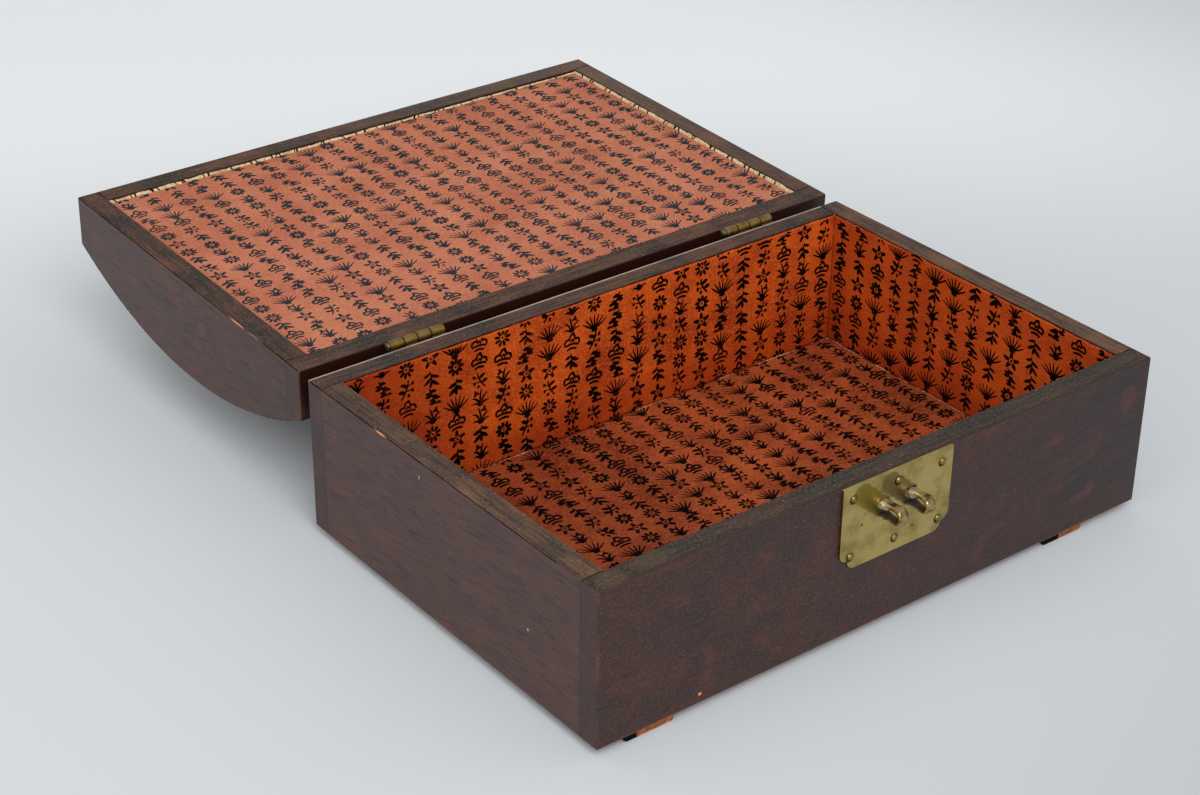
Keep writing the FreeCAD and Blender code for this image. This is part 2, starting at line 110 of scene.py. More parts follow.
def make_camera():
    data = bpy.data.cameras.new("camera")
    data.lens = LENS_MM
    data.sensor_width = SENSOR_MM
    data.sensor_fit = "HORIZONTAL"
    data.clip_start = 0.01
    camera = add_object("camera", data)
    tilt = Matrix.Rotation(math.pi / 2 - ELEVATION, 4, "X") @ Matrix.Rotation(ROLL, 4, "Z")
    camera.matrix_world = Matrix.Translation(EYE) @ Matrix.Rotation(AZIMUTH, 4, "Z") @ tilt
    bpy.context.scene.camera = camera


# --- shader kit ---

def light(value):
    """A display value from 0 to 255 as linear light."""
    value /= 255
    return value / 12.92 if value <= 0.04045 else ((value + 0.055) / 1.055) ** 2.4


class Shader:
    """A node material whose sockets pass from call to call.

    Coordinates are metres in the frame, and colours are display values from 0 to 255.
    """

    def __init__(self, name, closed=False):
        self.material = bpy.data.materials.new(name)
        self.material.use_nodes = True
        self.tree = self.material.node_tree
        self.tree.nodes.clear()
        self.place = self.add("TexCoord").outputs["Object"]
        if closed:
            self.place = self.add("Mapping", {
                "Vector": self.place, "Location": tuple(TO_CLOSED.translation),
                "Rotation": tuple(TO_CLOSED.to_euler())}).outputs[0]
        self.x, self.y, self.z = self.add("SeparateXYZ", {0: self.place}).outputs

    def add(self, kind, inputs=None, **settings):
        made = self.tree.nodes.new("ShaderNode" + kind)
        for key, value in settings.items():
            setattr(made, key, value)
        for key, value in (inputs or {}).items():
            if value is not None:
                self.put(made.inputs[key], value)
        return made

    def put(self, socket, value):
        if isinstance(value, bpy.types.NodeSocket):
            self.tree.links.new(value, socket)
        elif socket.type == "RGBA":
            socket.default_value = (*map(light, value), 1)
        else:
            socket.default_value = value

    def math(self, operation, first, *others):
        """One operation, taken from left to right over its values."""
        result = first
        for value in others or (0.0,):
            result = self.add("Math", {0: result, 1: value}, operation=operation).outputs[0]
        return result

    def smallest(self, *values):
        return self.math("MINIMUM", *values)

    def largest(self, *values):
        return self.math("MAXIMUM", *values)

    def times(self, *values):
        return self.math("MULTIPLY", *values)

    def plus(self, *values):
        return self.math("ADD", *values)

    def minus(self, *values):
        return self.math("SUBTRACT", *values)

    def swing(self, value, size):
        """A value from 0 to 1 turned into one that swings about 0, over size in all."""
        return self.times(self.minus(value, 0.5), size)

    def stretched(self, scale, turn=(0, 0, 0)):
        """Coordinates turned, then multiplied by scale along X, Y and Z."""
        vector = self.place
        if any(turn):
            vector = self.add("Mapping", {"Vector": vector, "Rotation": turn}).outputs[0]
        return self.add("Mapping", {"Vector": vector, "Scale": scale}).outputs[0]

    def noise(self, size, detail=4.0, roughness=0.55, vector=None, distortion=0.0):
        """Noise from 0 to 1 with features about size metres across, in detail octaves."""
        return self.add("TexNoise", {
            "Vector": vector or self.place, "Scale": 1 / size, "Detail": detail,
            "Roughness": roughness, "Distortion": distortion}).outputs["Fac"]

    def ramp(self, factor, low, high, to_low=0.0, to_high=1.0, shape="LINEAR"):
        """A ramp between two values of factor, clamped, straight or of another shape."""
        return self.add("MapRange", {
            "Value": factor, "From Min": low, "From Max": high,
            "To Min": to_low, "To Max": to_high}, interpolation_type=shape).outputs["Result"]

    def fall(self, factor, low, high):
        """1 up to low, then down to 0 at high."""
        return self.ramp(factor, low, high, 1.0, 0.0)

    def near(self, value, centre, width):
        """1 where value is centre, down to 0 at width from it."""
        return self.fall(self.math("ABSOLUTE", self.minus(value, centre)), 0.0, width)

    def spot(self, centre, radii):
        """1 in the middle of an ellipsoid, down to 0 at its surface."""
        offset = self.add("VectorMath", {0: self.place, 1: tuple(centre)}, operation="SUBTRACT")
        scaled = self.add("VectorMath", {0: offset.outputs[0], 1: tuple(radii)}, operation="DIVIDE")
        length = self.add("VectorMath", {0: scaled.outputs[0]}, operation="LENGTH")
        return self.fall(length.outputs["Value"], 0.0, 1.0)

    def mix(self, factor, a, b):
        made = self.add("Mix", data_type="RGBA")
        self.put(made.inputs["Factor"], factor)
        self.put(made.inputs[6], a)
        self.put(made.inputs[7], b)
        return made.outputs[2]

    def layers(self, tone, *rows):
        """Colours laid over tone. A row is (pattern, where none, where full, strength, colour)."""
        for pattern, none, full, strength, colour in rows:
            tone = self.mix(self.ramp(pattern, none, full, 0.0, strength), tone, colour)
        return tone

    def bump(self, height, depth, normal=None):
        """Bump whose height from 0 to 1 stands for depth metres."""
        return self.add("Bump", {
            "Height": height, "Distance": depth, "Strength": 1.0, "Normal": normal}).outputs[0]

    def finish(self, tone, roughness, normal=None, **others):
        """The finished material. others are the surface's other sockets, with underscores in their names."""
        inputs = {"Base Color": tone, "Roughness": roughness, "Normal": normal}
        for key, value in others.items():
            inputs[key.replace("_", " ")] = value
        surface = self.add("BsdfPrincipled", inputs)
        output = self.add("OutputMaterial")
        self.tree.links.new(surface.outputs[0], output.inputs["Surface"])
        return self.material


# --- lacquered wood ---

GRAIN_STRETCH = 0.07
# Lines along the long boards' upper outer edges: strength, width and colour. The back's pale line is a
# painted highlight; the front's brown line is painted shade that damps the edge's sheen, over the edge's own
# brown tinge.
ARRIS_HIGHLIGHT = (0.8, 1.0 * MM, (196, 186, 174))
ARRIS_SHADE = (0.75, 0.55 * MM, (44, 24, 14))

DIRT = (14, 11, 11)
CHIP = (222, 138, 72)
PALE = (176, 164, 150)
STAIN = (112, 102, 90)
OLIVE = (112, 92, 60)
SCRATCH = (22, 17, 18)
RUBBED = (138, 78, 54)


def along(grain):
    """Scale factors that stretch a pattern along X, Y or Z, given as 0, 1 or 2."""
    return tuple(GRAIN_STRETCH if axis == grain else 1.0 for axis in range(3))


def lacquer_tone(s, grain, figure):
    """The lacquer's own colour: red-brown clouds, dust, and dark hairs of grain as strong as figure."""
    warped = s.stretched(along(grain), turn=(0.10, 0.0, 0.06))
    streak = s.noise(4.5 * MM, 5, vector=warped, distortion=0.5)
    hair = s.noise(1.2 * MM, 4, 0.6, vector=warped)
    cloud = s.noise(38 * MM, 3)
    warm = s.noise(17 * MM, 5, 0.62, distortion=0.6)
    grit = s.noise(1.0 * MM, 3, 0.7)
    tone = s.layers(
        s.mix(s.ramp(cloud, 0.36, 0.64), (44, 27, 26), (58, 31, 24)),
        (streak, 0.42, 0.66, 0.55 * figure, (74, 36, 25)),
        (warm, 0.54, 0.72, 0.6, (92, 44, 26)),
        (warm, 0.44, 0.30, 0.6, (30, 25, 28)),
        (grit, 0.52, 0.72, 0.7, (104, 70, 56)),
        (grit, 0.46, 0.30, 0.7, (14, 9, 9)),
        (hair, 0.47, 0.38, 0.9 * figure, (12, 8, 9)))
    return tone, hair, grit


def rim_tone(s, grain, cool, warm):
    """Dry, handled wood on the rims: between two browns in stains, with grain and pale specks."""
    streak = s.noise(1.6 * MM, 5, vector=s.stretched(along(grain)))
    stain = s.noise(26 * MM, 4, 0.65)
    grit = s.noise(1.1 * MM, 3, 0.7)
    speck = s.noise(1.2 * MM, 4, 0.75)
    return s.layers(
        s.mix(s.ramp(stain, 0.38, 0.62), cool, warm),
        (streak, 0.58, 0.38, 0.7, (24, 19, 17)),
        (grit, 0.52, 0.72, 0.5, (126, 104, 86)),
        (grit, 0.46, 0.31, 0.5, (15, 12, 11)),
        (speck, 0.64, 0.74, 0.7, (184, 168, 148)))


class Distances:
    """How far a place on the base or the lid is from its ends, long sides, back, rim, foot and edges."""

    def __init__(self, s, lid):
        self.side = s.minus(HALF, s.math("ABSOLUTE", s.x))
        self.back = s.minus(BACK_Y, s.y)
        self.across = s.smallest(s.minus(s.y, FRONT_Y), self.back)
        self.rim = s.minus(s.z, LID_RIM_Z) if lid else s.minus(RIM_Z, s.z)
        self.foot = self.rim if lid else s.minus(s.z, WALL_FOOT_Z)
        # The second smallest distance to a face is the distance to the nearest edge.
        nearer = s.smallest(self.side, self.across)
        farther = s.largest(self.side, self.across)
        self.edge = s.largest(nearer, s.smallest(farther, self.rim, self.foot))


def smoked_end(s, tone, grain, strength):
    """Darkened in slanting grain, none in the middle and up to strength at the right end."""
    slant = s.noise(2.0 * MM, 5, vector=s.stretched(along(grain), turn=(0.0, 0.16, 0.0)))
    rightward = s.ramp(s.x, -10 * MM, 110 * MM, 0.0, strength)
    return s.mix(s.times(s.ramp(slant, 0.40, 0.60, 1.0, 0.15), rightward), tone, (24, 24, 32))


def worn_edges(s, tone, edge, patch):
    """Lacquer rubbed thin along the edges, and in patches down to the wood."""
    worn = s.times(s.fall(edge, 0.2 * MM, 1.3 * MM), s.ramp(patch, 0.40, 0.58, 0.10, 0.7))
    tone = s.mix(worn, tone, (100, 62, 46))
    bare = s.times(s.fall(edge, 0.0, 0.5 * MM), s.ramp(patch, 0.56, 0.66), 0.5)
    return s.mix(bare, tone, (150, 112, 84))


def aged_rim(s, tone, to, on_rim, lid):
    """The base is redder at its foot. The open lid's rim is bleached towards its far right corner."""
    if not lid:
        return s.layers(tone, (to.foot, 1.2 * MM, 0.5 * MM, 0.5, (118, 56, 36)))
    bleach = s.ramp(s.minus(s.x, s.y), HALF * 0.6, HALF - FRONT_Y, 0.0, 0.14)
    return s.mix(s.times(on_rim, bleach), tone, (168, 146, 126))


# A line along the outer upper edge: a painted highlight on the back board, painted shade on the front.
def arris_highlight_and_shade(s, tone, to, patch, strength, width, colour):
    on_arris = s.times(s.fall(to.across, width, 1.8 * width), s.fall(to.rim, 0.6 * MM, 0.9 * MM))
    return s.mix(s.times(on_arris, s.ramp(patch, 0.35, 0.55, 0.6, 1.0), strength), tone, colour)


def dirt_and_shade(s, tone, to, lid):
    """Dirt in the corner joints, painted shade in the gap behind the box, and painted shade on the inner
    faces above the paper.
    """
    for joint in joint_lines(s, lid):
        tone = s.mix(s.times(joint, 0.9), tone, DIRT)
    # Painted shade: the faces in the gap behind the box are darkened to a deep red.
    shade_in_gap = s.times(s.fall(to.back, 0.1 * MM, 0.4 * MM), s.fall(to.rim, 9 * MM, 20 * MM), 0.92)
    tone = s.mix(shade_in_gap, tone, (38, 8, 3))
    # Painted shade: the inner faces above the paper, in the recess under the rim, are darkened.
    inner_face = (WALL - 0.2 * MM, WALL - 0.05 * MM)
    shade_inside = s.times(s.ramp(to.side, *inner_face), s.ramp(to.across, *inner_face),
                     s.ramp(to.rim, 0.2 * MM, 0.5 * MM), s.fall(to.rim, 8 * MM, 9 * MM))
    return s.mix(shade_inside, tone, (40, 16, 10))


def lacquer(name, grain, rim_colours, figure=1.0, painted_light=0.0, lid=False, arris=None, marks=(), smoked=0.0):
    """Lacquer worn through along the edges, and a dry rim. marks are (place, radii, colour, strength)."""
    s = Shader(name, closed=lid)
    to = Distances(s, lid)
    wander = s.noise(7 * MM, 4)
    patch = s.noise(24 * MM, 4, 0.7)
    tone, hair, grit = lacquer_tone(s, grain, figure)
    # Painted light: the end boards, which face the left, are paled to stand for their brighter sheen.
    tone = s.mix(painted_light, tone, (104, 70, 62))
    if smoked:
        tone = smoked_end(s, tone, grain, smoked)
    tone = worn_edges(s, tone, s.plus(to.edge, s.swing(wander, 1.6 * MM)), patch)
    on_rim = s.fall(to.rim, 0.12 * MM, 0.45 * MM)
    tone = s.mix(on_rim, tone, rim_tone(s, grain, *rim_colours))
    tone = aged_rim(s, tone, to, on_rim, lid)
    if arris:
        tone = arris_highlight_and_shade(s, tone, to, patch, *arris)
    tone = dirt_and_shade(s, tone, to, lid)
    for place, radii, colour, strength in marks:
        ragged = s.plus(s.spot(place, radii), s.swing(wander, 0.5))
        tone = s.layers(tone, (ragged, 0.15, 0.5, strength, colour))
    roughness = s.ramp(on_rim, 0.0, 1.0, 0.42, 0.80)
    relief = s.plus(s.times(hair, 0.6), s.times(grit, 0.4))
    waves = s.bump(s.noise(26 * MM, 2), 0.25 * MM)
    return s.finish(tone, roughness, s.bump(relief, 0.05 * MM, waves), Specular_IOR_Level=0.4)


def joint_lines(s, lid):
    """Thin lines where the boards butt, as they run over the rims and the outer faces."""
    thin = 0.5 * MM
    soft = 0.1 * MM
    front_y = s.near(s.y, INNER_FRONT, thin)
    back_y = s.near(s.y, INNER_BACK, thin)
    at_left = s.fall(s.x, -INNER_X, -INNER_X + soft)
    at_right = s.ramp(s.x, INNER_X - soft, INNER_X)
    both = [s.times(back_y, at_left), s.times(front_y, at_right)]
    if lid:
        left_x = s.near(s.x, -INNER_X, thin)
        at_front = s.fall(s.y, INNER_FRONT, INNER_FRONT + soft)
        return both + [s.times(left_x, at_front), s.times(back_y, at_right)]
    right_x = s.near(s.x, INNER_X, thin)
    at_back = s.ramp(s.y, INNER_BACK - soft, INNER_BACK)
    return both + [s.times(front_y, at_left), s.times(right_x, at_back)]


def mark(x, y, z, radii, colour, strength):
    """A mark on the wood: x from the left end, y from the front, z from the table, all in millimetres."""
    return Vector((x, y, z)) * MM + Vector((-HALF, FRONT_Y, 0)), Vector(radii) * MM, colour, strength


def base_marks(rim):
    """Chips and stains on the base, whose rim is given in millimetres."""
    return (
        mark(50.4, 0, 8.6, (1.1, 1, 1.0), CHIP, 0.95),
        mark(269, 0, 22, (4.0, 3, 6.0), RUBBED, 0.14),
        mark(262, 0, 19, (7.0, 3, 4.0), RUBBED, 0.11),
        mark(288, 0, 60, (7, 3, 9), RUBBED, 0.10),
        mark(9, 5, rim, (9, 8, 1.2), OLIVE, 0.20),
        mark(30, 6, rim, (15, 6, 1.2), OLIVE, 0.16),
        mark(0, 144.4, rim - 0.3, (0.56, 5.6, 0.56), CHIP, 1.0),
        mark(0, 116.6, 68.4, (1, 0.6, 1.5), PALE, 0.8),
        mark(0, 43.7, 35.6, (1, 0.9, 0.9), PALE, 0.9),
        mark(0, 123, 39.5, (1, 3.2, 0.9), SCRATCH, 0.8))


def lid_marks(rim):
    """Chips and scratches on the lid's left end, as on the closed box."""
    return (
        mark(0, 149.4, rim + 0.3, (0.56, 8.4, 0.56), CHIP, 1.0),
        mark(0, 163, rim + 0.3, (0.8, 7.0, 0.7), STAIN, 0.7),
        mark(0, 65.5, 95, (1, 4.0, 0.7), SCRATCH, 0.9),
        mark(0, 87, 103.6, (1, 3.0, 0.7), SCRATCH, 0.8),
        mark(0, 112, 118, (1, 2.4, 0.6), SCRATCH, 0.7))


# --- other woods, metals and papers ---

def bare_wood(name, grain, light, dark, black_end=None):
    """Raw wood. Where black_end is given, as (x, width), it is black from x over that width."""
    s = Shader(name)
    fibre = s.noise(0.9 * MM, 6, vector=s.stretched(along(grain)))
    cloud = s.noise(3 * MM, 5, 0.7)
    tone = s.layers(s.mix(s.ramp(fibre, 0.35, 0.65), dark, light), (cloud, 0.48, 0.64, 0.8, dark))
    if black_end:
        left, width = black_end
        black = s.plus(s.x, s.swing(s.noise(2.5 * MM), 1.5 * MM))
        tone = s.layers(tone, (black, left + width + 0.6 * MM, left + width, 1.0, (8, 6, 6)))
    return s.finish(tone, 0.8, s.bump(fibre, 0.12 * MM), Specular_IOR_Level=0.1)


def brass(name, bright, patina, roughness, patch_size=11 * MM, dark_spots=(), dark_planes=(), lug_reflections=()):
    """Old brass: stained in patches, finely scratched.

    dark_spots are (place, outer, inner radius), dark_planes are places along X, and lug_reflections, painted
    reflections of the lugs where the metal is also rougher, are (places, radius, colour).
    """
    s = Shader(name)
    patch = s.noise(patch_size, 5, 0.62)
    fine = s.noise(0.7 * MM, 4, 0.7)
    scratch = s.noise(0.9 * MM, 3, vector=s.stretched((1, 1, 0.06), turn=(0, 0.9, 0)))
    cross = s.noise(0.8 * MM, 3, vector=s.stretched((1, 1, 0.05), turn=(0, -0.5, 0)))
    tone = s.layers(bright, (patch, 0.42, 0.72, 0.75, patina), (fine, 0.58, 0.82, 0.7, patina),
                    (scratch, 0.66, 0.76, 0.5, patina), (cross, 0.30, 0.24, 0.5, bright))
    dull = s.plus(patch, s.times(scratch, 0.5))
    rough = s.ramp(dull, 0.45, 1.0, roughness - 0.05, roughness + 0.12)
    # Painted reflections of the lugs, in their colours, where the metal is also rougher.
    for places, radius, colour in lug_reflections:
        nearest = s.largest(*[s.spot(place, (radius, radius, radius)) for place in places])
        stain = s.ramp(nearest, 0.0, 0.16)
        tone = s.mix(s.times(stain, 0.75), tone, colour)
        rough = s.plus(rough, s.times(stain, 0.22))
    for place, outer, inner in dark_spots:
        gap = s.add("VectorMath", {0: s.place, 1: tuple(place)}, operation="DISTANCE")
        tone = s.layers(tone, (gap.outputs["Value"], outer, inner, 0.95, (26, 18, 8)))
    # Painted shade in the gaps between the hinge knuckles.
    for x in dark_planes:
        tone = s.mix(s.near(s.x, x, 0.6 * MM), tone, (30, 18, 8))
    relief = s.plus(s.times(scratch, 0.5), s.times(fine, 0.5))
    waves = s.bump(s.noise(9 * MM, 2), 0.12 * MM)
    return s.finish(tone, rough, s.bump(relief, 0.03 * MM, waves), Metallic=1.0)


def old_brass(name, root, tip, dark):
    """Heavy cast brass, paler at its root in a painted highlight, stained in patches, and nearly black in
    painted shade where it looks into the eye.
    """
    s = Shader(name)
    patch = s.noise(3.4 * MM, 3, 0.55, distortion=0.5)
    # Painted highlight: the root is paler, where its face catches the light.
    bright = s.mix(s.ramp(s.y, LUG_BEND_Y - 1 * MM, LUG_BEND_Y + 5 * MM), tip, root)
    highlight_at_root = s.ramp(s.y, LUG_BEND_Y, LUG_BEND_Y + 4 * MM, 0.0, 0.10)
    tone = s.mix(s.ramp(s.plus(patch, highlight_at_root), 0.42, 0.58), dark, bright)
    normal = s.add("NewGeometry").outputs["Normal"]
    _, normal_y, normal_z = s.add("SeparateXYZ", {0: normal}).outputs
    # The eye's core line runs level from the plate to the middle of the bend.
    to_core_y = s.largest(s.minus(LUG_BEND_Y, s.y), 0.0)
    to_core_z = s.minus(LUG_MIDDLE_Z, s.z)
    inward = s.plus(s.times(normal_y, to_core_y), s.times(normal_z, to_core_z))
    # Painted shade: faces that look into the eye are darkened nearly to black.
    inner = s.ramp(inward, 0.8 * MM, 1.7 * MM)
    tone = s.mix(s.times(inner, 0.85), tone, (52, 44, 34))
    dents = s.bump(s.noise(1.5 * MM, 2), 0.12 * MM)
    return s.finish(tone, s.plus(0.18, s.times(inner, 0.35)), s.bump(patch, 0.24 * MM, dents), Metallic=0.8)


def steel(name):
    s = Shader(name)
    wide = s.noise(2.4 * MM, 4)
    tone = s.mix(s.ramp(wide, 0.4, 0.6), (128, 112, 100), (74, 44, 30))
    return s.finish(tone, 0.5, s.bump(wide, 0.05 * MM), Metallic=1.0)


def dirt(name):
    """Black dirt packed into a seam."""
    s = Shader(name)
    crumb = s.noise(1.2 * MM, 4)
    tone = s.mix(s.ramp(crumb, 0.40, 0.65), (12, 9, 9), (56, 42, 36))
    return s.finish(tone, 1.0, Specular_IOR_Level=0.0)


# The colours of a dyed paper, how far the stain and painted shade rise from its foot, and where painted shade
# darkens it:
# shades are (x where plain, x where darkest, strength).
PaperDye = namedtuple("PaperDye", "plain deep pale stain_height shades", defaults=(0.0, ()))


def paper_tone(s, dye):
    """Dyed paper: soft clouds, fibres, short dark threads, a stain with painted shade near the floor, and
    painted shade along X.
    """
    cloud = s.noise(30 * MM, 5, 0.6)
    fibre = s.noise(0.8 * MM, 4, 0.7)
    thread = s.noise(1.6 * MM, 3, vector=s.stretched((0.3, 1, 1)))
    blot = s.noise(12 * MM, 6, 0.7)
    tone = s.layers(
        s.mix(s.ramp(cloud, 0.34, 0.66), dye.deep, dye.plain),
        (blot, 0.54, 0.70, 0.7, dye.deep),
        (fibre, 0.50, 0.70, 0.75, dye.pale),
        (fibre, 0.46, 0.32, 0.45, dye.deep),
        (thread, 0.64, 0.72, 0.6, dye.deep))
    if dye.stain_height:
        rise = s.plus(s.z, s.swing(blot, dye.stain_height))
        tone = s.layers(tone, (rise, FLOOR_TOP + dye.stain_height, FLOOR_TOP, 0.75, dye.deep))
    return s.layers(tone, *[(s.x, *shade, dye.deep) for shade in dye.shades]), fibre


def paper(name, dye):
    s = Shader(name)
    tone, fibre = paper_tone(s, dye)
    return s.finish(tone, 0.75, s.bump(fibre, 0.05 * MM), Specular_IOR_Level=0.2)


def ink(name, dye, black, wear):
    """Printed ink that has rubbed off in places, down to the paper's own colour."""
    s = Shader(name)
    tone, fibre = paper_tone(s, dye)
    rub = s.noise(2.2 * MM, 5, 0.75)
    fade = s.swing(s.noise(45 * MM, 2), 0.4)
    worn = s.ramp(s.plus(rub, fade), 0.55, 0.78, 0.0, wear)
    return s.finish(s.mix(worn, black, tone), 0.9, s.bump(fibre, 0.04 * MM), Specular_IOR_Level=0.03)


def torn_paper(name, pale, dark):
    """Undyed paper where an edge has torn."""
    s = Shader(name)
    grit = s.noise(0.8 * MM, 4, 0.7)
    patch = s.noise(6 * MM, 5, 0.7)
    tone = s.layers(pale, (grit, 0.56, 0.40, 0.7, dark), (patch, 0.54, 0.66, 0.8, dark))
    return s.finish(tone, 0.8, s.bump(grit, 0.1 * MM))


# --- stage ---

STAGE_SIZE = 12.0
# Painted light and shade on the table: darker near the front, paler far away, darker to the right.
TABLE_NEAR = (206, 210, 213)
TABLE_FAR = (240, 242, 243)
TABLE_SHADED_RIGHT = (190, 194, 198)
TABLE_SHADOW_NEAR_RIGHT = (188, 192, 196)
TABLE_LIT_UNDER_LID = (246, 248, 249)


def table_material():
    """Pale and smooth, with painted light and shade: a little darker towards the right and the front, a
    painted shadow near the box's right front, and painted light under the lid that thins its shadow.
    """
    s = Shader("table")
    away = s.plus(s.y, s.times(s.x, 0.55))
    # A painted shadow near the box's right front, and a painted pool of light under the lid's left end.
    shadow_near_right = s.minus(s.times(s.x, 0.1), s.y)
    light_under_lid = s.spot((-0.28, 0.12, 0.0), (0.24, 0.26, 1.0))
    soft = "SMOOTHERSTEP"
    tone = s.mix(s.ramp(away, 0.0, 0.56, shape=soft), TABLE_NEAR, TABLE_FAR)
    tone = s.mix(s.ramp(s.x, 0.32, 0.84, 0.0, 0.7, shape=soft), tone, TABLE_SHADED_RIGHT)
    tone = s.mix(s.ramp(shadow_near_right, 0.18, 0.41, shape=soft), tone, TABLE_SHADOW_NEAR_RIGHT)
    tone = s.mix(s.times(light_under_lid, 0.15), tone, TABLE_LIT_UNDER_LID)
    return s.finish(tone, 0.9, Specular_IOR_Level=0.1)


def make_stage():
    """A wide seamless table."""
    mesh = bpy.data.meshes.new("table")
    half = STAGE_SIZE / 2
    corners = [(-half, -half, 0), (half, -half, 0), (half, half, 0), (-half, half, 0)]
    mesh.from_pydata(corners, [], [(0, 1, 2, 3)])
    mesh.materials.append(table_material())
    add_object("table", mesh)


def area_light(name, place, size, watts):
    """A round soft light that looks at the box."""
    data = bpy.data.lights.new(name, "AREA")
    data.shape = "DISK"
    data.size = size
    data.energy = watts
    lamp = add_object(name, data)
    lamp.location = place
    lamp.rotation_euler = (-Vector(place)).to_track_quat("-Z", "Y").to_euler()


def make_lights():
    """A large soft box above the camera's shoulder and one on the left, in an even pale room."""
    area_light("front_box", (-0.9, -1.9, 1.9), 2.0, 50)
    area_light("left_box", (-2.2, -0.3, 1.3), 1.5, 8)
    world = bpy.data.worlds.new("studio")
    world.use_nodes = True
    background = world.node_tree.nodes["Background"]
    background.inputs["Color"].default_value = (0.96, 0.98, 1.0, 1)
    background.inputs["Strength"].default_value = 0.60
    bpy.context.scene.world = world
    bpy.context.scene.view_settings.view_transform = "Standard"


# --- meshes ---

class Builder:
    """Gathers closed tubes of one piece."""

    def __init__(self):
        self.points = []
        self.faces = []

    def tube(self, sections):
        """A closed body through rings of points, each ring with the same count."""
        count = len(sections[0])
        first = len(self.points)
        for ring in sections:
            self.points.extend(ring)
        for i in range(len(sections) - 1):
            low = first + i * count
            high = low + count
            for k in range(count):
                after = (k + 1) % count
                self.faces.append((low + k, low + after, high + after, high + k))
        last = first + (len(sections) - 1) * count
        self.faces.append(tuple(reversed(range(first, first + count))))
        self.faces.append(tuple(range(last, last + count)))

    def piece(self, name, material, body, slot, smooth=False):
        mesh = bpy.data.meshes.new(name)
        mesh.from_pydata([tuple(point) for point in self.points], [], self.faces)
        mesh.polygons.foreach_set("use_smooth", [smooth] * len(mesh.polygons))
        mesh.materials.append(material)
        mesh.validate()
        mesh.update()
        made = add_object(name, mesh)
        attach(made, body)
        return made


# --- paper panels ---

SHEET_STEP = 1.5 * MM
PASTE = 0.03 * MM
LOWEST_LIFT = -0.2 * MM
CREASE_SHARPNESS = 7.0


def ripple(a, b, size, seed):
    """Smooth noise from -1 to 1."""
    return noise.noise(Vector((a / size, b / size, seed)))


def crease(a, b, size, seed):
    """Narrow ridges where the noise passes through zero, from 0 to 1."""
    return max(0.0, 1.0 - CREASE_SHARPNESS * abs(ripple(a, b, size, seed)))


class Panel:
    """A pasted paper. a runs along u and b along v, from its corner; n points out of the wall."""

    def __init__(self, corner, u, v, width, height, relief, tear):
        self.corner = corner
        self.u = u
        self.v = v
        self.n = u.cross(v)
        self.width = width
        self.height = height
        self.tear = tear
        self.columns = math.ceil(width / SHEET_STEP)
        self.rows = math.ceil(height / SHEET_STEP)
        self.lifts = [[PAPER + max(LOWEST_LIFT, relief(width * i / self.columns, height * j / self.rows))
                       for j in range(self.rows + 1)] for i in range(self.columns + 1)]

    def lift_at(self, a, b):
        """The height of the paper's face over its wall, between the grid's points."""
        x = min(max(a / self.width, 0.0), 1.0) * self.columns
        y = min(max(b / self.height, 0.0), 1.0) * self.rows
        i = min(int(x), self.columns - 1)
        j = min(int(y), self.rows - 1)
        p = x - i
        q = y - j
        low = self.lifts[i][j] * (1 - p) + self.lifts[i + 1][j] * p
        high = self.lifts[i][j + 1] * (1 - p) + self.lifts[i + 1][j + 1] * p
        return low * (1 - q) + high * q

    def wall(self, a, b, lift):
        """A point at a height over the wall."""
        return self.corner + self.u * a + self.v * b + self.n * lift

    def face(self, a, b, lift):
        """A point at a height over the paper's face."""
        return self.wall(a, b, self.lift_at(a, b) + lift)

    def sheet(self, name, material, body, slot):
        """The paper as a thin closed sheet with a torn far edge."""
        builder = Builder()
        across = self.rows + 1

        def add_point(i, j, lift):
            a = self.width * i / self.columns
            b = min(self.height * j / self.rows, self.height - self.tear(a))
            builder.points.append(self.wall(a, b, lift))

        for i in range(self.columns + 1):
            for j in range(across):
                add_point(i, j, self.lifts[i][j])
        for i in range(self.columns):
            for j in range(self.rows):
                corner = i * across + j
                builder.faces.append((corner, corner + across, corner + across + 1, corner + 1))
        border = [(i, 0) for i in range(self.columns)]
        border += [(self.columns, j) for j in range(self.rows)]
        border += [(i, self.rows) for i in range(self.columns, 0, -1)]
        border += [(0, j) for j in range(self.rows, 0, -1)]
        first = len(builder.points)
        for i, j in border:
            add_point(i, j, PASTE)
        for k, (i, j) in enumerate(border):
            after = (k + 1) % len(border)
            next_i, next_j = border[after]
            builder.faces.append((i * across + j, first + k, first + after, next_i * across + next_j))
        builder.faces.append(tuple(first + k for k in reversed(range(len(border)))))
        made = builder.piece(name, material, body, slot)
        shown = self.columns * self.rows
        made.data.polygons.foreach_set("use_smooth", [k < shown for k in range(len(builder.faces))])
        return made


# --- the printed pattern: sprigs, blossoms and clouds ---

# A motif fills a square from -0.5 to 0.5. A stroke is its start, bend and end points and its
# three widths, drawn as a curve that the bend pulls.

def polar(radius, degrees):
    """A point from the middle, with degrees clockwise from up."""
    angle = math.radians(degrees)
    return Vector((radius * math.sin(angle), radius * math.cos(angle)))


def leaf(root, degrees, length, width, curl=0.0, ends=(0.35, 0.2)):
    """A pointed leaf from its root."""
    root = Vector(root)
    end = root + polar(length, degrees)
    bend = (root + end) / 2 + polar(curl, degrees + 90)
    return root, bend, end, (width * ends[0], width, width * ends[1])


def curve(start, bend, end, width, ends=(0.8, 0.8)):
    """An even line."""
    return Vector(start), Vector(bend), Vector(end), (width * ends[0], width, width * ends[1])


def dot(x, y, half, width):
    """A short fat stroke."""
    return curve((x - half, y), (x, y + 0.01), (x + half, y), width)


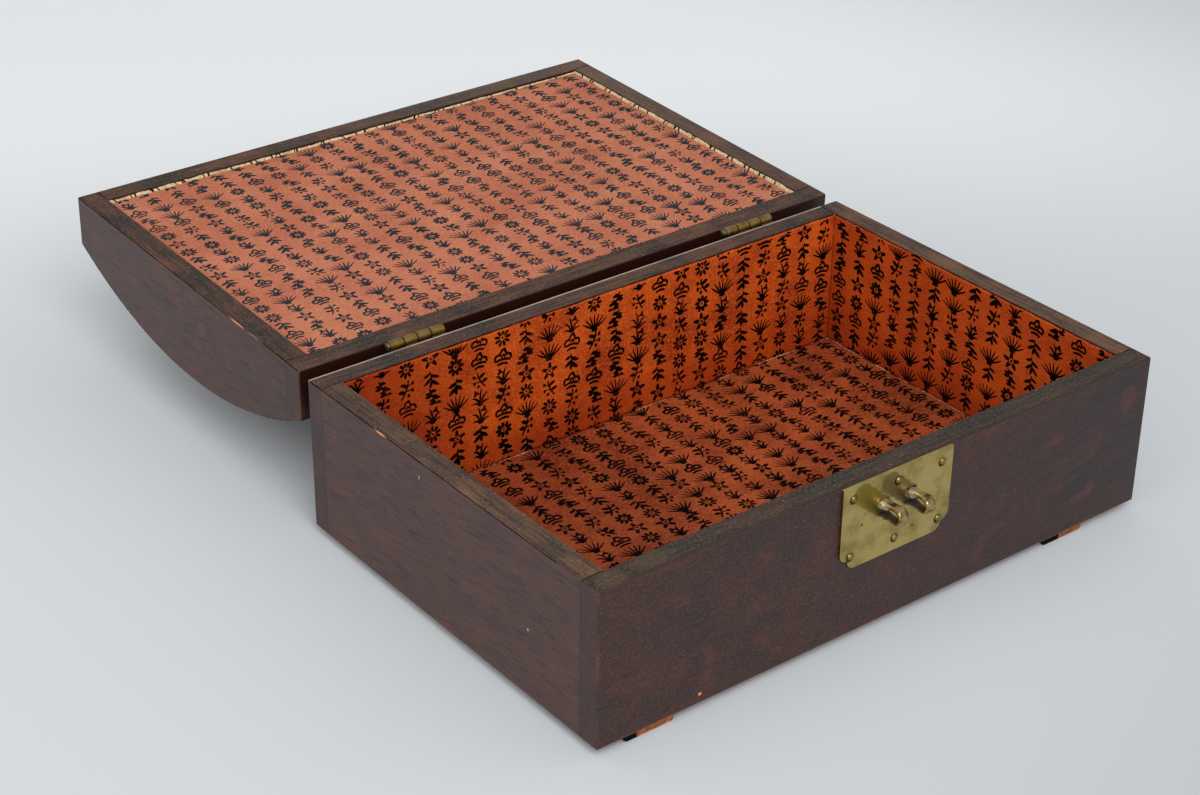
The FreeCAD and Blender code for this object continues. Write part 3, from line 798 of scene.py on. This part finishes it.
def bamboo():
    leaves = (((0.07, 0.50), 187, 0.66, 0.07, 0.05), ((0.06, 0.36), 112, 0.40, 0.13, 0.04),
              ((0.04, 0.26), 244, 0.54, 0.15, -0.05), ((0.02, 0.08), 128, 0.52, 0.15, 0.05),
              ((0.01, -0.02), 226, 0.60, 0.15, -0.06), ((0.00, -0.08), 168, 0.42, 0.14, 0.03))
    return [leaf(*shape) for shape in leaves]


def plum():
    petals = []
    for degrees in range(0, 360, 72):
        petals.append(curve(polar(0.16, degrees - 26), polar(0.82, degrees), polar(0.16, degrees + 26), 0.095,
                            (0.7, 0.7)))
    return petals + [dot(0, 0, 0.06, 0.11)]


def pine():
    needles = [leaf((0.03 * k - 0.09, -0.36), 19 * k - 57, 0.80, 0.07, 0.01 * (k - 3), (0.9, 0.5))
               for k in range(7)]
    return needles + [leaf((-0.20, -0.43), 90, 0.40, 0.13, 0.04, (0.5, 0.5))]


def orchid():
    blades = (((-0.05, -0.48), (-0.12, 0.16), (-0.47, 0.14), 0.09),
              ((0.00, -0.48), (0.04, 0.12), (-0.15, 0.48), 0.09),
              ((0.03, -0.48), (0.12, 0.08), (0.47, 0.08), 0.10),
              ((0.05, -0.48), (0.24, -0.14), (0.48, -0.26), 0.08),
              ((-0.05, -0.46), (-0.24, -0.16), (-0.47, -0.30), 0.09))
    petals = [leaf((0.20, 0.28), 120 * k + 15, 0.20, 0.11) for k in range(3)]
    return [curve(*blade, (0.6, 0.3)) for blade in blades] + petals


def chrysanthemum():
    petals = [leaf(polar(0.15, 40 * k), 40 * k + 10, 0.33, 0.13, 0.03, (0.4, 0.6)) for k in range(9)]
    return petals + [dot(0, 0, 0.05, 0.10)]


def berries():
    return [curve((-0.32, -0.48), (0.02, -0.10), (0.10, 0.48), 0.08),
            leaf((-0.12, -0.16), 286, 0.38, 0.17, 0.04),
            leaf((0.03, 0.12), 298, 0.44, 0.16, 0.04),
            curve((0.05, 0.14), (0.16, 0.22), (0.28, 0.24), 0.05),
            curve((-0.06, -0.10), (0.1, -0.06), (0.26, -0.10), 0.05),
            dot(0.32, 0.26, 0.07, 0.15), dot(0.31, -0.11, 0.07, 0.15), dot(0.09, -0.36, 0.07, 0.15)]


def twig():
    leaves = []
    for x, y, length, width, curl, odd, even in ((0.16, 0.34, 0.40, 0.14, 0.05, 105, 262),
                                                 (0.12, 0.26, 0.30, 0.11, 0.04, 262, 96)):
        for k in range(4):
            leaves.append(leaf((x - 0.13 * k, y - 0.21 * k), odd if k % 2 else even, length, width, curl))
    return leaves + [curve((0.20, 0.50), (0.02, 0.08), (-0.26, -0.48), 0.07)]


def cloud():
    puffs = (((-0.46, -0.14), (-0.50, 0.26), (-0.12, 0.12), 0.10),
             ((-0.22, 0.10), (0.00, 0.78), (0.22, 0.10), 0.10),
             ((0.12, 0.12), (0.50, 0.26), (0.46, -0.14), 0.10),
             ((-0.10, -0.02), (0.02, 0.28), (0.12, -0.02), 0.09),
             ((-0.44, -0.20), (0.00, -0.02), (0.44, -0.20), 0.10),
             ((-0.30, -0.42), (0.00, -0.26), (0.30, -0.42), 0.10))
    return [curve(*puff) for puff in puffs] + [leaf((-0.04, 0.44), 80, 0.20, 0.10)]


MOTIFS = (bamboo, plum, pine, orchid, chrysanthemum, berries, twig, cloud)
STROKE_POINTS = 7
INK_LIFT = 0.05 * MM
INK_ROOT = 0.2 * MM
INK_MARGIN = 0.25 * MM
# Each stroke of a motif lies this much over the last, so that crossings don't flicker.
STROKE_LAP = 0.003 * MM
# How far to look along a stroke for its direction
AHEAD = 0.01


def curve_point(start, bend, end, t):
    return start * (1 - t) ** 2 + bend * (2 * t * (1 - t)) + end * t ** 2


def curve_width(widths, t):
    """The width along a stroke, which is widths at its start, middle and end."""
    bend = 2 * widths[1] - (widths[0] + widths[2]) / 2
    return widths[0] * (1 - t) ** 2 + bend * 2 * t * (1 - t) + widths[2] * t ** 2


def draw_stroke(builder, panel, stroke, place, size, lift):
    """One stroke of ink, cut off where the paper ends. place turns a point of the motif into (a, b)."""
    start, bend, end, widths = stroke
    runs = [[]]
    for k in range(STROKE_POINTS):
        t = k / (STROKE_POINTS - 1)
        here, before, after = (place(curve_point(start, bend, end, at)) for at in (t, t - AHEAD, t + AHEAD))
        top = panel.height - panel.tear(here.x)
        if not (INK_MARGIN < here.x < panel.width - INK_MARGIN and INK_MARGIN < here.y < top - INK_MARGIN):
            runs.append([])
            continue
        ahead = after - before
        side = Vector((-ahead.y, ahead.x)).normalized() * size * curve_width(widths, t) / 2
        left = here + side
        right = here - side
        runs[-1].append((panel.face(right.x, right.y, lift), panel.face(left.x, left.y, lift),
                         panel.face(here.x, here.y, -INK_ROOT)))
    for run in runs:
        if len(run) > 1:
            builder.tube(run)


def print_motif(builder, panel, rng, centre, size):
    """A motif at (a, b), a little turned, shifted and stretched as by a hand-cut block."""
    turn = Matrix.Rotation(math.radians(rng.uniform(-5, 5)), 2)
    mirror = rng.choice((-1, 1))
    wide = size * rng.uniform(0.94, 1.06)
    tall = size * rng.uniform(0.92, 1.04)
    bold = rng.uniform(1.20, 1.60)

    def place(point):
        return Vector(centre) + turn @ Vector((point.x * wide * mirror, point.y * tall))

    for number, stroke in enumerate(rng.choice(MOTIFS)()):
        draw_stroke(builder, panel, stroke, place, size * bold, INK_LIFT + number * STROKE_LAP)


def print_panel(panel, rng, pitch, row_pitch, size, first):
    """Columns of motifs, read from the far edge down. first is the first column's a."""
    builder = Builder()
    a = first
    while a < panel.width + size / 2:
        b = panel.height - rng.uniform(-0.1, 0.7) * row_pitch
        while b > -size / 2:
            print_motif(builder, panel, rng, (a + rng.uniform(-0.2, 0.2) * MM, b), size)
            b -= row_pitch * rng.uniform(0.93, 1.08)
        a += pitch
    return builder


# --- turned and torn edges of the papers ---

EDGE_STEP = 1.2 * MM


class TurnedEdge(namedtuple("TurnedEdge", "length point_at inward rise ragged end_share seed")):
    """A paper edge turned up a wall. point_at(t, inward, lift) places it; t runs along the wall.

    inward and rise are its reach over the paper and up the wall. end_share of both is left at its end.
    """

    def rough(self, t, offset):
        """A factor about 1, torn finely."""
        wide = ripple(t, offset, 9 * MM, self.seed)
        fine = ripple(t, offset, 1.7 * MM, self.seed + 7)
        return max(0.12, 1 + self.ragged * (0.9 * wide + 0.8 * fine))

    def profile(self, t, lift=0.0):
        """The visible profile from the paper's face up to the wall."""
        thinning = 1 + (self.end_share - 1) * t / self.length
        inward = self.inward * self.rough(t, 0.0) * thinning
        rise = self.rise * self.rough(t, 0.2) * thinning
        points = [self.point_at(t, inward + lift, PAPER + lift * 0.3)]
        for inward_share, rise_share in ((0.80, 0.45), (0.45, 0.85)):
            points.append(self.point_at(t, inward * inward_share + lift, PAPER + rise * rise_share + lift))
        return points + [self.point_at(t, 0.10 * MM + lift, PAPER + rise + lift)]

    def band(self, builder):
        sections = []
        count = math.ceil(self.length / EDGE_STEP)
        for k in range(count + 1):
            t = self.length * k / count
            sections.append(self.profile(t) + [self.point_at(t, PASTE, PAPER), self.point_at(t, PASTE, PASTE),
                                                self.point_at(t, self.inward * 0.2, PASTE)])
        builder.tube(sections)

    def marks(self, builder, rng, pitch, size):
        """Short black cuts of the print where it runs over the edge."""
        t = pitch * rng.uniform(0.2, 0.6)
        while t < self.length - size:
            for _ in range(rng.randint(1, 3)):
                middle = t + rng.uniform(-0.35, 0.35) * size
                slant = rng.uniform(-1.3, 1.3) * MM
                half = rng.uniform(0.28, 0.55) * MM
                self.mark(builder, middle, slant, half)
            t += pitch * rng.uniform(0.8, 1.2)

    def mark(self, builder, middle, slant, half):
        steps = len(self.profile(middle))
        sections = []
        for k in range(steps):
            t = middle + slant * (k / (steps - 1) - 0.5)
            t = min(max(t, half), self.length - half)
            top = (self.profile(t - half, INK_LIFT)[k], self.profile(t + half, INK_LIFT)[k])
            sections.append((*top, self.profile(t, -INK_ROOT)[k]))
        builder.tube(sections)


# --- the lugs ---

LUG_CUTS = 40
LUG_RING = 16
LUG_ROOT_HALF = 3.5 * MM
LUG_WAIST_HALF = 2.3 * MM
LUG_TIP_HALF = 2.75 * MM
LUG_SUNK = 0.4 * MM
LUG_SQUARENESS = 0.85
# Thickness of the strip, from the plate over the top arm, round the tip and back
LUG_THICKNESS = ((0.00, 4.8 * MM), (0.13, 4.3 * MM), (0.20, 2.4 * MM), (0.34, 2.1 * MM), (0.50, 2.1 * MM),
                 (0.66, 1.7 * MM), (1.00, 1.7 * MM))


def between(table, share):
    """The value at share from (share, value) rows, by straight lines."""
    for (low, start), (high, end) in zip(table, table[1:]):
        if share <= high:
            return start + (end - start) * (share - low) / (high - low)
    return table[-1][1]


def lug_half_width(reach_share):
    """Half the strip's width from the plate (0) to the bend's tip (1): flared, waisted, then full."""
    waist = 0.4
    full = 0.75
    if reach_share < waist:
        start, end, share = LUG_ROOT_HALF, LUG_WAIST_HALF, reach_share / waist
    else:
        start, end, share = LUG_WAIST_HALF, LUG_TIP_HALF, min(1.0, (reach_share - waist) / (full - waist))
    return start + (end - start) * (1 - math.cos(math.pi * share)) / 2


def lug_outline(share):
    """A point on the strip's outer side, as y and the height over its middle, and the way out from it."""
    root = PLATE_LOW.y + LUG_SUNK
    straight = root - LUG_BEND_Y
    arc = math.pi * LUG_RADIUS
    gone = share * (2 * straight + arc)
    if gone < straight:
        return Vector((0, root - gone, LUG_RADIUS)), Vector((0, 0, 1))
    if gone > straight + arc:
        return Vector((0, LUG_BEND_Y + gone - straight - arc, -LUG_RADIUS)), Vector((0, 0, -1))
    angle = (gone - straight) / LUG_RADIUS
    out = Vector((0, -math.sin(angle), math.cos(angle)))
    return Vector((0, LUG_BEND_Y, 0)) + out * LUG_RADIUS, out


def make_lug(name, x, material):
    """A heavy strip bent into an eye: out along the top, round, and back along the bottom."""
    middle = Vector((x, 0, LUG_MIDDLE_Z))
    builder = Builder()
    sections = []
    for cut in range(LUG_CUTS + 1):
        share = cut / LUG_CUTS
        skin, out = lug_outline(share)
        thick = between(LUG_THICKNESS, share)
        half = lug_half_width((PLATE_LOW.y - skin.y) / (PLATE_LOW.y - LUG_LOW.y))
        centre = middle + skin - out * (thick / 2)
        ring = []
        for k in range(LUG_RING):
            angle = 2 * math.pi * k / LUG_RING
            wide = math.copysign(abs(math.cos(angle)) ** LUG_SQUARENESS, math.cos(angle))
            deep = math.copysign(abs(math.sin(angle)) ** LUG_SQUARENESS, math.sin(angle))
            dent = 0.94 + 0.06 * ripple(share * 9, angle, 1.0, x / MM)
            ring.append(centre + dent * (Vector((half * wide, 0, 0)) + out * (thick / 2 * deep)))
        sections.append(ring)
    builder.tube(sections)
    return builder.piece(name, material, "base", "brass", smooth=True)


# --- dirt in the seams of the wood ---

EDGE_ROUNDING = 0.9 * MM
LINE_HALF = 0.20 * MM
LINE_LIFT = 0.03 * MM
LINE_STEP = 3 * MM
JOINT_OVERRUN = 0.4 * MM


def dirt_line(builder, start, end, out, seed):
    """A line of dirt on a face that looks towards out, uneven in width."""
    way = end - start
    across = way.cross(out).normalized()
    count = math.ceil(way.length / LINE_STEP)
    sections = []
    for k in range(count + 1):
        place = start.lerp(end, k / count)
        wide = across * LINE_HALF * (1 + 0.6 * ripple(way.length * k / count, 0.0, 6 * MM, seed))
        lift = out * LINE_LIFT
        sections.append((place - wide + lift, place + wide + lift, place + wide - lift, place - wide - lift))
    builder.tube(sections)


def make_seam(name, body, rim_z, up, arris_spans, joints, cross_joint, seed):
    """The dirt lines of a box whose rim at rim_z looks up (1) or down (-1), placed as on the closed box.

    arris_spans are the stretches of the left end's edge, from the front. joints run along X, as (side, y),
    and cross_joint along Y, as (x, start, end).
    """
    out = Vector((-0.77, 0, 0.64 * up))
    edge_x = -HALF + EDGE_ROUNDING * (1 + out.x)
    edge_z = rim_z - up * EDGE_ROUNDING + EDGE_ROUNDING * out.z
    on_rim = Vector((0, 0, up))
    lines = []
    for start, end in arris_spans:
        lines.append(((edge_x, FRONT_Y + start, edge_z), (edge_x, FRONT_Y + end, edge_z), out))
    for side, y in joints:
        outer_x = side * (HALF - EDGE_ROUNDING)
        lines.append(((outer_x, y, rim_z), (side * (INNER_X + JOINT_OVERRUN), y, rim_z), on_rim))
    x, start, end = cross_joint
    lines.append(((x, start, rim_z), (x, end, rim_z), on_rim))
    move = FROM_CLOSED if body == "lid" else Matrix.Identity(4)
    builder = Builder()
    for number, (start, end, way) in enumerate(lines):
        dirt_line(builder, move @ Vector(start), move @ Vector(end), move.to_3x3() @ way, seed + number)
    builder.piece(name, seam_dirt, body, "lacquered_wood")


BASE_ARRIS = ((26 * MM, 139.4 * MM), (149.6 * MM, 199 * MM))
LID_ARRIS = ((1 * MM, 141.4 * MM), (170.4 * MM, 199 * MM))
BASE_JOINTS = ((-1, INNER_BACK), (1, INNER_FRONT), (-1, INNER_FRONT))
LID_JOINTS = ((-1, INNER_BACK), (1, INNER_FRONT), (1, INNER_BACK))
BASE_CROSS_JOINT = (INNER_X, BACK_Y - EDGE_ROUNDING, INNER_BACK + JOINT_OVERRUN)
LID_CROSS_JOINT = (-INNER_X, FRONT_Y + EDGE_ROUNDING, INNER_FRONT - JOINT_OVERRUN)


def make_seams():
    make_seam("base_seam_dirt", "base", RIM_Z, 1, BASE_ARRIS, BASE_JOINTS, BASE_CROSS_JOINT, 70.5)
    make_seam("lid_seam_dirt", "lid", LID_RIM_Z, -1, LID_ARRIS, LID_JOINTS, LID_CROSS_JOINT, 80.5)


# --- the box's materials ---

LID_DYE = PaperDye((190, 116, 86), (168, 92, 64), (226, 150, 116))
# The walls' paper: a stain and painted shade near the floor, painted shade towards the left end and on the
# right wall.
BASE_DYE = PaperDye((210, 86, 16), (146, 42, 2), (242, 126, 50), 26 * MM,
                    ((-0.40 * HALF, -INNER_X, 0.95), (INNER_X - 6 * MM, INNER_X, 0.35)))
# The floor's paper: painted shade towards the left wall.
FLOOR_DYE = PaperDye((164, 73, 32), (108, 36, 6), (198, 108, 62), 0.0, ((0.1 * HALF, -INNER_X, 0.5),))

# The cool and the warm brown of a rim
DARK_RIM = ((50, 42, 34), (66, 47, 34))
MIDDLE_RIM = ((54, 41, 34), (98, 62, 44))
PALE_RIM = ((76, 56, 42), (110, 76, 56))
chips = base_marks(RIM_Z / MM)
lacquer_front = lacquer("lacquer_front", 0, DARK_RIM, 0.3, arris=ARRIS_SHADE, marks=chips, smoked=0.6)
lacquer_back = lacquer("lacquer_back", 0, MIDDLE_RIM, 0.5, arris=ARRIS_HIGHLIGHT)
# The ends carry painted light.
lacquer_ends = lacquer("lacquer_ends", 1, PALE_RIM, 1.4, painted_light=0.20, marks=chips)
lid_lacquer_long = lacquer("lid_lacquer_long", 0, MIDDLE_RIM, 0.5, lid=True)
lid_lacquer_ends = lacquer("lid_lacquer_ends", 1, MIDDLE_RIM, 1.4, painted_light=0.16, lid=True,
                           marks=lid_marks(LID_RIM_Z / MM))

KNUCKLES = 4
TACK_HEAD = 1.5 * MM
# The dark ring round a tack: where it is darkest and where it ends, and how far it is shifted down and to the
# left
RING_INNER = TACK_HEAD + 0.3 * MM
RING_OUTER = TACK_HEAD + 0.85 * MM
RING_SHIFT = Vector((-0.25 * MM, 0.0, -0.15 * MM))
HOLE_INNER = 0.2 * MM
HOLE_OUTER = 0.9 * MM
HOLES = ((-19 * MM, 55.9 * MM), (9.5 * MM, 45 * MM))
# Painted reflections of the lugs on the plate: their way up and to the left, and their size.
REFLECTION_WAY = Vector((-14 * MM, 0.0, 12 * MM))
REFLECTION_RADIUS = 5.2 * MM
BRASS_BRIGHT = (190, 168, 102)
BRASS_PATINA = (112, 92, 40)


def plate_spots():
    """Dark rings round the tacks, and two empty nail holes."""
    low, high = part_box("lock_plate_tacks")
    spots = []
    for x in (low.x + TACK_HEAD, 0.0, high.x - TACK_HEAD):
        for z in (low.z + TACK_HEAD, high.z - TACK_HEAD):
            spots.append((Vector((x, PLATE_LOW.y, z)) + RING_SHIFT, RING_OUTER, RING_INNER))
    return spots + [((x, PLATE_LOW.y, z), HOLE_OUTER, HOLE_INNER) for x, z in HOLES]


def lug_reflection(x, colour):
    """A painted reflection of the lug at x on the plate, up and to the left of it, where the plate is also
    rougher.
    """
    root = Vector((x, PLATE_LOW.y, LUG_MIDDLE_Z))
    return [root + REFLECTION_WAY * share for share in (0.1, 0.35, 0.6, 0.85)], REFLECTION_RADIUS, colour


def hinge_brass(side):
    """A hinge's brass, with painted shade between the knuckles."""
    low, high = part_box(side + "_hinge_base_leaf")
    ends = [low.x + (high.x - low.x) / KNUCKLES * number for number in range(1, KNUCKLES)]
    return brass(side + "_hinge_brass", (158, 130, 72), (66, 44, 22), 0.34, 3.5 * MM, dark_planes=ends)


def foot_wood(side, black_width):
    """The wood of the feet on one side, black over a width at the front foot's left end."""
    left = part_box("foot_front_" + side)[0].x
    return bare_wood(side + "_foot_wood", 0, (190, 122, 78), (92, 46, 26), (left, black_width))


# Painted reflections of the lugs on the plate: olive for the left lug, brown-grey for the right.
lug_reflections = [lug_reflection(-LUG_SPACING / 2, (142, 124, 40)), lug_reflection(LUG_SPACING / 2, (122, 104, 66))]
brass_plate = brass("brass_plate", BRASS_BRIGHT, BRASS_PATINA, 0.16, dark_spots=plate_spots(), lug_reflections=lug_reflections)
brass_sheet = brass("brass_sheet", BRASS_BRIGHT, BRASS_PATINA, 0.28)
# The lug's pale root colour is a painted highlight.
brass_lug = old_brass("brass_lug", (200, 192, 168), (168, 142, 90), (92, 74, 38))
brass_tack = brass("brass_tack", (158, 132, 74), (78, 60, 28), 0.40, 3 * MM)
steel_pin = steel("steel")
seam_dirt = dirt("seam_dirt")
bottom_wood = bare_wood("bottom_wood", 0, (150, 108, 72), (104, 66, 40))
bamboo_wood = bare_wood("bamboo", 2, (176, 142, 92), (130, 96, 56))
base_paper = paper("base_paper", BASE_DYE)
floor_paper = paper("floor_paper", FLOOR_DYE)
lid_paper = paper("lid_paper", LID_DYE)
base_ink = ink("base_ink", BASE_DYE, (8, 3, 3), 0.22)
floor_ink = ink("floor_ink", FLOOR_DYE, (12, 6, 6), 0.30)
lid_ink = ink("lid_ink", LID_DYE, (40, 50, 56), 0.38)
cream = torn_paper("cream_paper", (224, 204, 160), (150, 106, 70))
seam_paper = torn_paper("seam_paper", (196, 150, 124), (96, 34, 14))

NODE_MATERIALS = {
    lacquer_front: ["base_front_board"],
    lacquer_back: ["base_back_board"],
    lacquer_ends: ["base_left_board", "base_right_board"],
    lid_lacquer_long: ["lid_front_board", "lid_back_board", "lid_top_panel"],
    lid_lacquer_ends: ["lid_left_end", "lid_right_end"],
    bottom_wood: ["bottom_board", "lid_lining_board", "lid_front_batten", "lid_back_batten"],
    foot_wood("left", 5.6 * MM): ["foot_front_left", "foot_back_left"],
    foot_wood("right", 9.6 * MM): ["foot_front_right", "foot_back_right"],
    bamboo_wood: ["base_corner_pegs", "bottom_pegs", "lid_corner_pegs"],
    brass_plate: ["lock_plate"],
    brass_sheet: ["lid_plate", "hasp"],
    hinge_brass("left"): ["left_hinge_base_leaf", "left_hinge_lid_leaf"],
    hinge_brass("right"): ["right_hinge_base_leaf", "right_hinge_lid_leaf"],
    brass_tack: ["lock_plate_tacks", "lid_plate_tacks", "hinge_base_nails", "hinge_lid_nails"],
    steel_pin: ["left_hinge_pin", "right_hinge_pin", "hasp_hinge_pin"],
}


def dress_nodes():
    for material, nodes in NODE_MATERIALS.items():
        for node in nodes:
            shown = frame["nodes"][node]
            if not shown.material_slots:
                shown.data.materials.append(None)
            for slot in shown.material_slots:
                slot.link = "OBJECT"
                slot.material = material


# --- the papers in their places ---

X = Vector((1, 0, 0))
Y = Vector((0, 1, 0))
Z = Vector((0, 0, 1))
BARE_RIM = 0.4 * MM
WALL_PAPER = RIM_Z - BARE_RIM - FLOOR_TOP
INNER_WIDTH = INNER_BACK - INNER_FRONT


def no_tear(a):
    return 0.0


def torn_top(seed):
    """A far edge that falls short of the rim by an uneven amount."""
    def tear(a):
        wide = 0.35 * MM * ripple(a, 0.0, 14 * MM, seed)
        return 0.45 * MM + wide + 0.3 * MM * ripple(a, 0.0, 2.5 * MM, seed + 3)
    return tear


def lid_relief(a, b):
    return (0.13 * MM * ripple(a, b, 42 * MM, 1.5) + 0.05 * MM * ripple(a, b, 11 * MM, 2.5)
            + 0.07 * MM * crease(a, b * 0.5, 60 * MM, 3.5))


def wall_relief(seed):
    """Paper over a wall, loose and creased towards its foot."""
    def relief(a, b):
        loose = math.exp(-b / (16 * MM))
        wide = 0.12 * MM * ripple(a, b, 30 * MM, seed)
        fine = (0.04 + 0.10 * loose) * MM * ripple(a, b * 1.6, 9 * MM, seed + 1)
        return wide + fine + (0.06 + 0.22 * loose) * MM * crease(a * 0.6, b + a * 0.25, 26 * MM, seed + 2)
    return relief


def floor_relief(a, b):
    return 0.14 * MM * ripple(a, b, 36 * MM, 11.5) + 0.06 * MM * ripple(a, b, 10 * MM, 12.5)


LID_V = FROM_CLOSED.to_3x3() @ -Y


def wall_panel(x, y, u, length, seed):
    """The paper on one wall, from its lower corner along u."""
    return Panel(Vector((x, y, FLOOR_TOP)), u, Z, length, WALL_PAPER, wall_relief(seed), torn_top(seed + 10))


PANELS = {
    "lid": Panel(FROM_CLOSED @ Vector((-INNER_X, INNER_BACK, LID_BOARD_Z)), X, LID_V,
                 2 * INNER_X, INNER_WIDTH, lid_relief, no_tear),
    "back": wall_panel(-INNER_X, INNER_BACK, X, 2 * INNER_X, 21.5),
    "front": wall_panel(INNER_X, INNER_FRONT, -X, 2 * INNER_X, 22.5),
    "right": wall_panel(INNER_X, INNER_BACK, -Y, INNER_WIDTH, 23.5),
    "left": wall_panel(-INNER_X, INNER_FRONT, Y, INNER_WIDTH, 24.5),
    "floor": Panel(Vector((-INNER_X, INNER_FRONT, FLOOR_PAPER_LOW.z)), X, Y, 2 * INNER_X, INNER_WIDTH,
                   floor_relief, no_tear),
}
COLUMN_PITCH = 12.65 * MM
ROW_PITCH = 9.2 * MM
MOTIF = 8.9 * MM
LID_MOTIF = 8.2 * MM
FIRST_COLUMN = 6.6 * MM
# Body, slot, paper, ink and size of the motifs
LOOKS = {"lid": ("lid", "lid_paper", lid_paper, lid_ink, LID_MOTIF),
         "floor": ("base", "lining_paper", floor_paper, floor_ink, MOTIF)}
WALL_LOOK = ("base", "lining_paper", base_paper, base_ink, MOTIF)
PAPER_NODES = {"lid": "lid_lining_paper", "floor": "floor_lining"}


def make_papers():
    """The six papers, each with its print."""
    for number, (place, panel) in enumerate(PANELS.items()):
        body, slot, sheet_material, ink_material, size = LOOKS.get(place, WALL_LOOK)
        sheet = panel.sheet(place + "_paper", sheet_material, body, slot)
        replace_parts(sheet, PAPER_NODES.get(place, "base_%s_lining" % place))
        pattern = print_panel(panel, random.Random(100 + number), COLUMN_PITCH, ROW_PITCH, size, FIRST_COLUMN)
        pattern.piece(place + "_print", ink_material, body, slot)


def panel_edge(panel, side):
    """Places a turned edge along a panel's side: (length, point_at)."""
    if side == "far":
        return panel.width, lambda t, inward, lift: panel.wall(t, panel.height - inward, lift)
    if side == "near":
        return panel.width, lambda t, inward, lift: panel.wall(panel.width - t, inward, lift)
    if side == "right":
        return panel.height, lambda t, inward, lift: panel.wall(panel.width - inward, panel.height - t, lift)
    return panel.height, lambda t, inward, lift: panel.wall(inward, t, lift)


def make_lid_edges():
    """Torn cream edges on the lid's far and right walls, and dyed ones on the other two."""
    rng = random.Random(7)
    torn = Builder()
    dyed = Builder()
    marks = Builder()
    # Inward, rise, ragged, end share
    shapes = {"far": (1.3 * MM, 1.2 * MM, 0.4, 0.45), "right": (0.95 * MM, 1.15 * MM, 0.35, 1.2),
              "near": (0.7 * MM, 1.0 * MM, 0.25, 1.0), "left": (0.7 * MM, 1.0 * MM, 0.25, 1.0)}
    for number, (side, shape) in enumerate(shapes.items()):
        edge = TurnedEdge(*panel_edge(PANELS["lid"], side), *shape, 40.5 + number)
        if side in ("far", "right"):
            edge.band(torn)
            edge.marks(marks, rng, COLUMN_PITCH, MOTIF)
        else:
            edge.band(dyed)
    torn.piece("lid_torn_edge", cream, "lid", "lid_paper")
    dyed.piece("lid_turned_edge", lid_paper, "lid", "lid_paper")
    marks.piece("lid_edge_print", base_ink, "lid", "lid_paper")


def make_floor_seams():
    """Thin torn laps where the walls' papers meet the floor's, and up the two back corners."""
    seams = Builder()
    lap = (0.5 * MM, 0.3 * MM, 1.0, 1.0)
    for number, side in enumerate(("far", "right", "near", "left")):
        TurnedEdge(*panel_edge(PANELS["floor"], side), *lap, 50.5 + number).band(seams)
    corner_lap = (0.3 * MM, 0.2 * MM, 1.0, 1.0)
    for number, (name, side) in enumerate((("right", "left"), ("left", "right"))):
        TurnedEdge(*panel_edge(PANELS[name], side), *corner_lap, 60.5 + number).band(seams)
    seams.piece("lining_seams", seam_paper, "base", "lining_paper")


# --- building it all ---

make_camera()
make_stage()
make_lights()
dress_nodes()
make_papers()
make_lid_edges()
make_floor_seams()
make_seams()
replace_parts(make_lug("left_lug_eye", -LUG_SPACING / 2, brass_lug), "left_lug")
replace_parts(make_lug("right_lug_eye", LUG_SPACING / 2, brass_lug), "right_lug")
